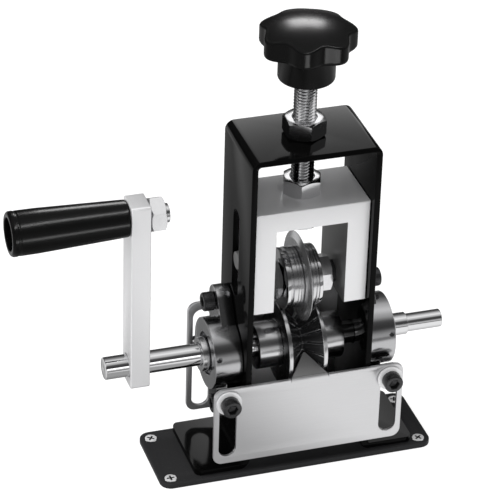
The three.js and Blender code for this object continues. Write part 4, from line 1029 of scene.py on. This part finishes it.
def tongue_mesh():
    """A strip in Y and Z that turns back by the lean, cut in plan to half = tip + slope (tip_y - y)."""
    face = -GUIDE_OUT
    centre = (face + TONGUE_BEND, TONGUE_FOOT)
    last = 180 - math.degrees(TONGUE_LEAN)
    outer = arc(centre, TONGUE_BEND, 180, last, 16)
    inner = arc(centre, TONGUE_BEND - GUIDE_THICK, 180, last, 16)
    along = TONGUE_REACH * np.array([math.sin(TONGUE_LEAN), math.cos(TONGUE_LEAN)])
    root = TONGUE_FOOT - TONGUE_ROOT
    strip = np.concatenate([[(face, root)], outer, [outer[-1] + along, inner[-1] + along], inner[::-1],
                            [(face + GUIDE_THICK, root)]])
    tip_y = (outer[-1] + along)[0]
    half = TIP_HALF + TONGUE_SLOPE * (tip_y - face)
    bar = slab(strip, [], -half - 1, half + 1, SQUARE, "YZ", 1)
    wide = half + TONGUE_SLOPE
    plan = [(-wide, face - 1), (wide, face - 1), (0, tip_y + TIP_HALF / TONGUE_SLOPE)]
    wedge = slab(plan, [], 20, 90, 0.001, "XY", 1)
    return broken(carved(bar, [wedge], "INTERSECT"), 0.25), half


def front_plate_mesh():
    """The front plate with a notch in its top edge, from which the tongue grows."""
    tongue, half = tongue_mesh()
    right, left = np.split(round_rect(-GUIDE_HALF, GUIDE_HALF, FRONT_LOW, FRONT_HIGH, GUIDE_CORNER), 2)
    notch = [(half, FRONT_HIGH), (half, TONGUE_FOOT), (-half, TONGUE_FOOT), (-half, FRONT_HIGH)]
    outline = np.concatenate([right, notch, left])
    body = slab(outline, guide_slots(FRONT_SLOT_HIGH), -GUIDE_OUT, -GUIDE_IN, 0.35, "XZ", 4)
    return carved(body, [tongue], "UNION")


def painted_shade_on_tongue(centre, normal):
    """The faces above the plate that look up, for painted shade."""
    return (centre[:, 2] > (FRONT_HIGH + 0.8) * MM) & (normal[:, 2] > 0.5)


back_outline = round_rect(-GUIDE_HALF, GUIDE_HALF, BACK_LOW, BACK_HIGH, GUIDE_CORNER)
back_plate = slab(back_outline, guide_slots(BACK_SLOT_HIGH), GUIDE_IN, GUIDE_OUT, 0.35, "XZ", 4)
front_plate = show("front_guide_plate", front_plate_mesh(), BRUSHED, "front_plate")
# The tongue's upper face is painted darker as shade.
second_material(front_plate, PAINTED_SHADE_STEEL, painted_shade_on_tongue)
show("back_guide_plate", back_plate, BRUSHED, "back_plate")
print("front plate with", len(front_plate.polygons), "faces")

# %% [markdown]
# Two socket screws clamp each plate through broad bright washers, which keep their heads from marking it.

# %% Clamping screws and washers
WASHER_R, WASHER_THICK = 7.0, 1.2
SCREW_TIP = 18.9
washer_y = GUIDE_OUT + GAP
screw_head_y = washer_y + WASHER_THICK + GAP
for face, out in (("front", -1), ("back", 1)):
    for word, side in SIDES.items():
        centre = (side * CLAMP_X, out * washer_y, CLAMP_Z)
        washer = turned(tube(3.0 + GAP, WASHER_R, 0, WASHER_THICK), "Y", centre, out, 80)
        show("plate_washer_%s_%s" % (face, word), washer, SCREW, "frame")
        place = shift(side * CLAMP_X, out * screw_head_y, CLAMP_Z) @ Matrix.Rotation(-out * QUARTER, 4, "X")
        screw = moved(cap_screw_mesh(screw_head_y - SCREW_TIP), place)
        show("plate_screw_%s_%s" % (face, word), screw, OXIDE_AND_PAINTED_SHADE, "frame")
print("clamping screws at", CLAMP_X, "mm each way")

# %% [markdown]
# ## Yoke
# A thick block with an open window straddles the blade and slides between the frame's walls. It is one
# outline pushed through its depth. The window's inside gets a darker steel as painted shade, and a pin on
# each side runs in the wall's slot.

# %% Yoke and guide pins
YOKE_HALF, LEG_IN, YOKE_DEPTH = 31.15, 19.15, 19.0
YOKE_LOW, WINDOW_TOP, YOKE_TOP = 96.5, 144.8, 156.1
PIN_IN, PIN_OUT, PIN_R = 23.15, 34.4, 4.9
PIN_LINE = (0, 0, 119.5)
yoke_outline = [(-YOKE_HALF, YOKE_LOW), (-LEG_IN, YOKE_LOW), (-LEG_IN, WINDOW_TOP), (LEG_IN, WINDOW_TOP),
                (LEG_IN, YOKE_LOW), (YOKE_HALF, YOKE_LOW), (YOKE_HALF, YOKE_TOP), (-YOKE_HALF, YOKE_TOP)]


def painted_shade_in_window(centre, normal):
    """The faces between the legs and under the window's top, apart from the front and the back, for painted
    shade.
    """
    between = np.abs(centre[:, 0]) < (LEG_IN + 0.15) * MM
    return between & (centre[:, 2] < (WINDOW_TOP + 0.2) * MM) & (np.abs(normal[:, 1]) < 0.6)


yoke = slab(yoke_outline, [], -YOKE_DEPTH, YOKE_DEPTH, 0.6, "XZ", 4)
show("yoke", yoke, PEARL, "yoke")
# The window's inside is painted darker as shade.
second_material(yoke, PAINTED_SHADE_STEEL, painted_shade_in_window)
# The guide pins take the darker steel as painted shade, where they sit in the frame's slots.
for word, side in SIDES.items():
    pin = turned(tube(CORE, PIN_R, PIN_IN, PIN_OUT), "X", PIN_LINE, side, 96, 0.5)
    show("guide_pin_" + word, pin, PAINTED_SHADE_STEEL, "yoke")
print("yoke", 2 * YOKE_HALF, "mm wide")

# %% [markdown]
# ## Blade
# The round blade is ground to a thin edge from both sides. It sits on a sleeve between grooved clamp rings,
# which turn together on a bronze bush round a fixed axle.

# %% Axle, bush and blade
AXLE_HALF = 30.8
BUSH_R, BUSH_START, BUSH_END = 8.2, -8.5, 6.5
BLADE_BORE, BLADE_R, BEVEL_START_R = 11.0, 24.0, 20.5
BLADE_HALF, EDGE_HALF = 1.5, 0.15
axle = turned(tube(CORE, SHAFT_R, -AXLE_HALF, AXLE_HALF), "X", AXLE_LINE, 1, 96, 0.5)
show("blade_axle", axle, OXIDE_AND_PAINTED_SHADE, "yoke")
bush = turned(tube(SHAFT_BORE, BUSH_R, BUSH_START, BUSH_END), "X", AXLE_LINE, 1, 96, 0.2)
show("blade_bush", bush, BRONZE, "yoke")
blade_profile = [(BLADE_BORE, -BLADE_HALF), (BEVEL_START_R, -BLADE_HALF), (BLADE_R, -EDGE_HALF),
                 (BLADE_R, EDGE_HALF), (BEVEL_START_R, BLADE_HALF), (BLADE_BORE, BLADE_HALF)]
blade = turned(blade_profile, "X", AXLE_LINE, 1, 192, 0.12)
show("cutting_blade", blade, GROUND, "blade")
print("blade", 2 * BLADE_R, "mm across")

# %% Clamp rings
RING_R, RING_START = 16.3, BLADE_HALF + GAP
SLEEVE_BORE, SLEEVE_R, SLEEVE_START = BUSH_R + GAP, 10.7, -2.0
LEFT_RING_END, RIGHT_RING_END = 8.5, 6.5
BOSS_R, BOSS_START = 14.6, 7.2


def grooved(depth, *grooves):
    """The ring's outer edge with square grooves of (start, end), each cut in by depth."""
    return [point for start, end in grooves
            for point in ((RING_R, start), (RING_R - depth, start), (RING_R - depth, end), (RING_R, end))]


left_ring = [(SLEEVE_BORE, RING_START), (RING_R, RING_START), *grooved(0.6, (3.0, 3.3), (4.7, 5.0)),
             (RING_R, BOSS_START), (BOSS_R, BOSS_START), (BOSS_R, LEFT_RING_END),
             (SLEEVE_BORE, LEFT_RING_END)]
right_ring = [(BLADE_BORE, RING_START), (RING_R, RING_START), *grooved(1.0, (2.7, 3.3), (4.7, 5.3)),
              (RING_R, RIGHT_RING_END), (BLADE_BORE, RIGHT_RING_END)]
sleeve = turned(tube(SLEEVE_BORE, SLEEVE_R, SLEEVE_START, RIGHT_RING_END), "X", AXLE_LINE, 1, 96, 0.12)
left = merged(turned(left_ring, "X", AXLE_LINE, -1, 144, 0.12), sleeve)
show("clamp_ring_left", left, TURNED, "blade")
right = turned(right_ring, "X", AXLE_LINE, 1, 144, 0.12)
show("clamp_ring_right", right, TURNED, "blade")
print("clamp rings", 2 * RING_R, "mm across")

# %% [markdown]
# A plain ring and a nut close the stack at each end. The two nuts stopped at different angles when they
# were tightened.

# %% Thrust rings and axle nuts
THRUST_THICK = 1.8
AXLE_NUT_FLATS, AXLE_NUT_HEIGHT = 18.0, 7.6
stack_ends = {"left": (LEFT_RING_END, -27.6), "right": (RIGHT_RING_END, 7.6)}
for word, side in SIDES.items():
    stack_end, spin = stack_ends[word]
    start = stack_end + GAP
    thrust = turned(tube(SHAFT_BORE, RING_R, start, start + THRUST_THICK), "X", AXLE_LINE, side, 144)
    show("thrust_ring_" + word, thrust, POLISHED, "yoke")
    nut = nut_mesh(AXLE_NUT_FLATS, AXLE_NUT_HEIGHT, SHAFT_R + 0.1, math.radians(spin))
    nut_start = start + THRUST_THICK + GAP
    place = shift(side * nut_start, 0, AXLE_LINE[2]) @ Matrix.Rotation(side * QUARTER, 4, "Y")
    show("axle_nut_" + word, moved(nut, place), ZINC, "yoke")
print("two thrust rings and two axle nuts")

# %% [markdown]
# ## Adjusting screw
# The screw has its real right-hand thread, 1.75 mm for each turn, so it looks right as it climbs. A nut is
# locked on it just above the yoke, and a retainer under the yoke's top makes the screw lift the yoke.

# %% Adjusting screw, lower nut and retainer
SCREW_LOW, SCREW_HIGH = 136.6, 232.4
LOWER_NUT_FLATS, LOWER_NUT_HEIGHT, LOWER_NUT_TURN = 19.0, 9.0, math.radians(71)
RETAINER_R, RETAINER_HIGH, RETAINER_HEIGHT = 10.2, WINDOW_TOP - GAP, 6.0
screw = threaded_mesh(SHAFT_R, SCREW_LOW, SCREW_HIGH)
show("adjusting_screw", screw, ZINC, "screw", 40)
lower_nut = nut_mesh(LOWER_NUT_FLATS, LOWER_NUT_HEIGHT, SHAFT_R + 0.1, LOWER_NUT_TURN)
show("lower_nut", moved(lower_nut, shift(0, 0, YOKE_TOP + GAP)), ZINC, "screw")
retainer_profile = tube(SHAFT_BORE, RETAINER_R, RETAINER_HIGH - RETAINER_HEIGHT, RETAINER_HIGH)
retainer = turned(retainer_profile, "Z", sides=112, edge=0.5)
show("screw_retainer", retainer, TURNED, "screw")
print("adjusting screw with", len(screw.polygons), "faces")

# %% [markdown]
# ## Star knob
# The moulded knob has seven soft lobes for the fingers. Its wall waves, w = R - (R - V) (1 - cos 7a) / 2,
# and runs up into one smooth dome, z = rim + rise (1 - (r / R)^2), so the wall is highest in the valleys.
# Rings that go from the hub's foot out under the head, up the wall and in over the dome make it in one
# surface.

# %% Star knob
LOBES = 7
KNOB_R, VALLEY_R, KNOB_HUB_R = 25.3, 21.6, 14.7
KNOB_LOW, HEAD_LOW, RIM_Z, DOME_RISE = 222.2, 238.4, 248.2, 6.0
FOOT_ROUND, HEAD_ROUND, RIM_ROUND = 1.3, 2.0, 1.3
KNOB_TURN = math.radians(-112.4)


def dome(radius):
    """The height of the knob's top at a radius."""
    return RIM_Z + DOME_RISE * (1 - (radius / KNOB_R) ** 2)


def knob_mesh(sides=280):
    """Rows of (radius, height): bore, rounded foot, hub, rounded underside, wall, rounded rim and dome."""
    angle = np.arange(sides) * TURN / sides
    wall = KNOB_R - (KNOB_R - VALLEY_R) * (1 - np.cos(LOBES * angle)) / 2
    quarter = np.linspace(0, QUARTER, 5)
    inner = wall - RIM_ROUND
    top = dome(inner)
    rows = [(SHAFT_BORE, KNOB_LOW + 8.0), (SHAFT_BORE, KNOB_LOW + 0.3)]
    rows += [(KNOB_HUB_R - FOOT_ROUND * (1 - math.sin(t)), KNOB_LOW + FOOT_ROUND * (1 - math.cos(t)))
             for t in quarter]
    rows += [(KNOB_HUB_R, HEAD_LOW - 0.6), (KNOB_HUB_R + 0.5, HEAD_LOW)]
    rows += [(wall - HEAD_ROUND * (1 - math.sin(t)), HEAD_LOW + HEAD_ROUND * (1 - math.cos(t)))
             for t in quarter]
    rows += [(wall, HEAD_LOW + 2.2 + (top - HEAD_LOW - 3.7) * share) for share in (0.0, 0.33, 0.66, 1.0)]
    rows += [(inner + RIM_ROUND * math.cos(t), top - RIM_ROUND * (1 - math.sin(t))) for t in quarter]
    rows += [(share * inner, dome(share * inner))
             for share in (0.97, 0.93, 0.88, 0.8, 0.7, 0.6, 0.5, 0.4, 0.3, 0.2, 0.1, 0.01)]
    points = ring_stack(rows, angle + KNOB_TURN)
    lid = points[:, :1] * np.array([0.01, 0.01, 1.0])
    return ring_mesh(np.concatenate([lid, points], 1))


knob = show("star_knob", knob_mesh(), KNOB, "screw", 50)
print("star knob with", len(knob.polygons), "faces")

# %% [markdown]
# ## Floor
# The background is pure white but the tool must keep its blacks. So the floor's white comes from what a
# camera ray sees, not from more light: a grey floor that takes the tool's shadow, lifted by an emission
# that only camera rays meet. In reflections the floor is a painted pool of light in front of the tool, an
# emission of its own. It is darker close to the tool as a painted shadow of it, brighter to the right,
# fades far out in front, drops to grey behind and has a bright strip out past the crank, all worked out
# from X and Y in metres.

# %% Floor
FLOOR_GREY, CAMERA_LIFT, FLOOR_HALF = 0.4, 0.8, 3


def mirrored_rays(tree, rays):
    """1 for rays that a metal or glass sends on, and 0 for the rest."""
    return calc(tree, "MAXIMUM", rays["Is Glossy Ray"], rays["Is Transmission Ray"])


def pool_of_light(tree):
    """The floor's brightness in reflections: max(near * behind * fading, strip), where near is a painted
    shadow of the tool, darker close to it and most of all towards its left.
    """
    split = tree.nodes.new("ShaderNodeSeparateXYZ")
    tree.links.new(tree.nodes.new("ShaderNodeTexCoord").outputs["Object"], split.inputs[0])
    x, y = split.outputs["X"], split.outputs["Y"]
    # near: a painted shadow of the tool in the reflected floor, darker close to it.
    near = remap(tree, calc(tree, "MULTIPLY_ADD", y, -0.6, x), 0.005, 0.07, 0.4, 1.0)
    behind = remap(tree, y, -0.04, 0.02, 1.0, 0.55)
    fading = remap(tree, y, -0.36, -0.29, 0.2, 1.0)
    strip = remap(tree, x, -0.16, -0.10, 0.8, 0.1)
    return calc(tree, "MAXIMUM", calc(tree, "MULTIPLY", calc(tree, "MULTIPLY", near, behind), fading), strip)


def mixed_shader(tree, factor, first, second):
    """Blends two shaders by a factor."""
    node = tree.nodes.new("ShaderNodeMixShader")
    for socket, value in zip(node.inputs, (factor, first, second)):
        tree.links.new(value, socket)
    return node.outputs[0]


def floor_material():
    """Grey with a lift for camera rays, and the pool of light for reflections."""
    material = bpy.data.materials.new("pale floor")
    material.use_nodes = True
    tree = material.node_tree
    shader = next(node for node in tree.nodes if node.type == "BSDF_PRINCIPLED")
    shader.inputs["Base Color"].default_value = (FLOOR_GREY, FLOOR_GREY, FLOOR_GREY, 1)
    shader.inputs["Roughness"].default_value = 0.9
    shader.inputs["Specular IOR Level"].default_value = 0.0
    rays = tree.nodes.new("ShaderNodeLightPath").outputs
    lift = tree.nodes.new("ShaderNodeEmission")
    tree.links.new(remap(tree, rays["Is Camera Ray"], 0.0, 1.0, 0.0, CAMERA_LIFT), lift.inputs["Strength"])
    shown = tree.nodes.new("ShaderNodeAddShader")
    tree.links.new(shader.outputs[0], shown.inputs[0])
    tree.links.new(lift.outputs[0], shown.inputs[1])
    glow = tree.nodes.new("ShaderNodeEmission")
    tree.links.new(pool_of_light(tree), glow.inputs["Strength"])
    output = next(node for node in tree.nodes if node.type == "OUTPUT_MATERIAL")
    top = mixed_shader(tree, mirrored_rays(tree, rays), shown.outputs[0], glow.outputs[0])
    tree.links.new(top, output.inputs["Surface"])
    return material


def floor():
    """A wide square on z = 0."""
    mesh = bpy.data.meshes.new("floor")
    h = FLOOR_HALF
    mesh.from_pydata([(-h, -h, 0), (h, -h, 0), (h, h, 0), (-h, h, 0)], [], [(0, 1, 2, 3)])
    mesh.materials.append(floor_material())
    plane = bpy.data.objects.new("floor", mesh)
    scene.collection.objects.link(plane)
    return plane


print("floor", 2 * FLOOR_HALF, "m wide")

# %% [markdown]
# ## Lights
# Three broad lamps light the tool: one overhead, one from the left and one low in front. Reflections don't
# show them, so the polished pieces mirror the world and the floor. Gloss black shows nothing but what it
# mirrors, and the plated pieces and the shaft lack a highlight too, so these get cards of their own: soft
# lamps that light linking keeps to the pieces on their list. BEHIND is where a face that looks up sends the
# camera's view.

# %% Lights
BEHIND = (0.27, 0.81, 0.78)
TOP, GRIP_MIDDLE = (0, 0, 0.18), (-0.12, 0, 0.154)
PLASTIC = ["star_knob", "handle_grip"]
PLATED = ["top_nut", "lower_nut", "adjusting_screw"]


def area(name, place, target, size, power, pieces=()):
    """A soft rectangular lamp. With a list of pieces it is a card that only they reflect."""
    data = bpy.data.lights.new(name, "AREA")
    data.shape = "RECTANGLE"
    data.size, data.size_y = size
    data.energy = power
    lamp = bpy.data.objects.new(name, data)
    lamp.visible_glossy = bool(pieces)
    lamp.visible_camera = False
    lamp.location = place
    lamp.rotation_euler = (Vector(target) - Vector(place)).to_track_quat("-Z", "Y").to_euler()
    scene.collection.objects.link(lamp)
    if pieces:
        lit = bpy.data.collections.new(name + " pieces")
        for piece in pieces:
            lit.objects.link(bpy.data.objects[piece + "_look"])
        lamp.light_linking.receiver_collection = lit
    return lamp


lamps = [
    area("overhead", (-0.1, 0.1, 1.3), (0, 0, 0.1), (1.0, 1.0), 6.5),
    area("left key", (-1.2, 0.15, 0.75), (0, 0, 0.12), (1.1, 1.1), 14),
    area("front key", (-0.3, -1.5, 0.6), (0, 0, 0.1), (1.1, 0.5), 17),
    area("paint card", BEHIND, TOP, (0.7, 1.1), 6.5, ["frame_strap"]),
    area("plastic card", BEHIND, TOP, (0.34, 0.3), 9.0, PLASTIC),
    area("zinc card", BEHIND, TOP, (0.55, 0.42), 0.9, PLATED),
    area("high strip", (0.1, -0.30, 0.86), GRIP_MIDDLE, (0.7, 0.07), 9.0, PLASTIC),
    area("low strip", (-0.01, -0.42, 0.055), GRIP_MIDDLE, (0.3, 0.07), 1.6, PLASTIC),
    area("shaft card", (0.13, -0.74, 0.29), (-0.09, 0, 0.065), (0.6, 0.2), 0.6, ["drive_shaft"]),
]
ground = floor()
print(len(lamps), "soft lights")

# %% [markdown]
# ## World
# A turned piece along X mirrors the sky as bands along its length. So the world that reflections see is a
# ramp of the angle about X, atan2(z, -y): pale in front of the tool and a little below it, dark about 40
# degrees up, bright overhead and dark again behind. The camera sees plain white, and everything else gets a
# dim grey fill.

# %% World
FILL = (0.2, 0.2, 0.2, 1)
WHITE = (1, 1, 1, 1)
SKY_BANDS = [(-180, 0.02), (-60, 0.2), (-33, 0.6), (-12, 0.95), (8, 0.5), (27, 0.05), (47, 0.08), (67, 0.6),
             (87, 1.0), (107, 0.72), (127, 0.3), (147, 0.09), (180, 0.02)]


def sky_bands(tree):
    """The ramp's grey at the angle about X of the ray's direction."""
    split = tree.nodes.new("ShaderNodeSeparateXYZ")
    tree.links.new(tree.nodes.new("ShaderNodeTexCoord").outputs["Generated"], split.inputs[0])
    toward = calc(tree, "MULTIPLY", split.outputs["Y"], -1.0)
    angle = calc(tree, "ARCTAN2", split.outputs["Z"], toward)
    ramp = tree.nodes.new("ShaderNodeValToRGB")
    ramp.color_ramp.interpolation = "EASE"
    elements = ramp.color_ramp.elements
    while len(elements) < len(SKY_BANDS):
        elements.new(0.5)
    for element, (degrees, grey) in zip(elements, SKY_BANDS):
        element.position = degrees / 360 + 0.5
        element.color = (grey, grey, grey, 1)
    tree.links.new(remap(tree, angle, -math.pi, math.pi), ramp.inputs["Fac"])
    return ramp.outputs["Color"]


def build_world():
    """White to the camera, the bands to reflections and a dim fill to the rest."""
    world = bpy.data.worlds.new("studio")
    world.use_nodes = True
    tree = world.node_tree
    tree.nodes.clear()
    shades = []
    for color in (FILL, sky_bands(tree), WHITE):
        background = tree.nodes.new("ShaderNodeBackground")
        feed(tree, background.inputs["Color"], color)
        shades.append(background.outputs[0])
    dim, bands, white = shades
    rays = tree.nodes.new("ShaderNodeLightPath").outputs
    unseen = mixed_shader(tree, mirrored_rays(tree, rays), dim, bands)
    output = tree.nodes.new("ShaderNodeOutputWorld")
    tree.links.new(mixed_shader(tree, rays["Is Camera Ray"], unseen, white), output.inputs["Surface"])
    scene.world = world


build_world()
scene.view_settings.view_transform = "Standard"
print("world with", len(SKY_BANDS), "bands")

# %% [markdown]
# ## Camera
# Points of the tool whose places are known were matched to the picture. That gave a long lens 1.47 m away,
# 19 degrees to the left of the front and 31 degrees up, so the view here falls over the picture's.

# %% Camera
PICTURE_WIDTH = 500
FOCAL_PIXELS = 2844.66
SENSOR_WIDTH = 36
AZIMUTH, ELEVATION, ROLL = (math.radians(value) for value in (-18.69, 31.32, 1.82))
LOOK_AT = (-0.02695, 0, 0.12473)
CAMERA_DISTANCE = 1.4731


def place_camera():
    """Looks at LOOK_AT from (sin a cos e, -cos a cos e, sin e) times the distance, rolled about its axis."""
    back = Vector((math.sin(AZIMUTH) * math.cos(ELEVATION), -math.cos(AZIMUTH) * math.cos(ELEVATION),
                   math.sin(ELEVATION)))
    flat = Vector((math.cos(AZIMUTH), math.sin(AZIMUTH), 0))
    rise = back.cross(flat)
    right = math.cos(ROLL) * flat + math.sin(ROLL) * rise
    up = -math.sin(ROLL) * flat + math.cos(ROLL) * rise
    data = bpy.data.cameras.new("camera")
    data.sensor_width = SENSOR_WIDTH
    data.lens = FOCAL_PIXELS / PICTURE_WIDTH * SENSOR_WIDTH
    data.clip_start, data.clip_end = 0.05, 20
    camera = bpy.data.objects.new("camera", data)
    place = Matrix.Translation(Vector(LOOK_AT) + back * CAMERA_DISTANCE)
    camera.matrix_world = place @ Matrix((right, up, back)).transposed().to_4x4()
    scene.collection.objects.link(camera)
    scene.camera = camera


place_camera()
print("lens", round(scene.camera.data.lens, 1), "mm")
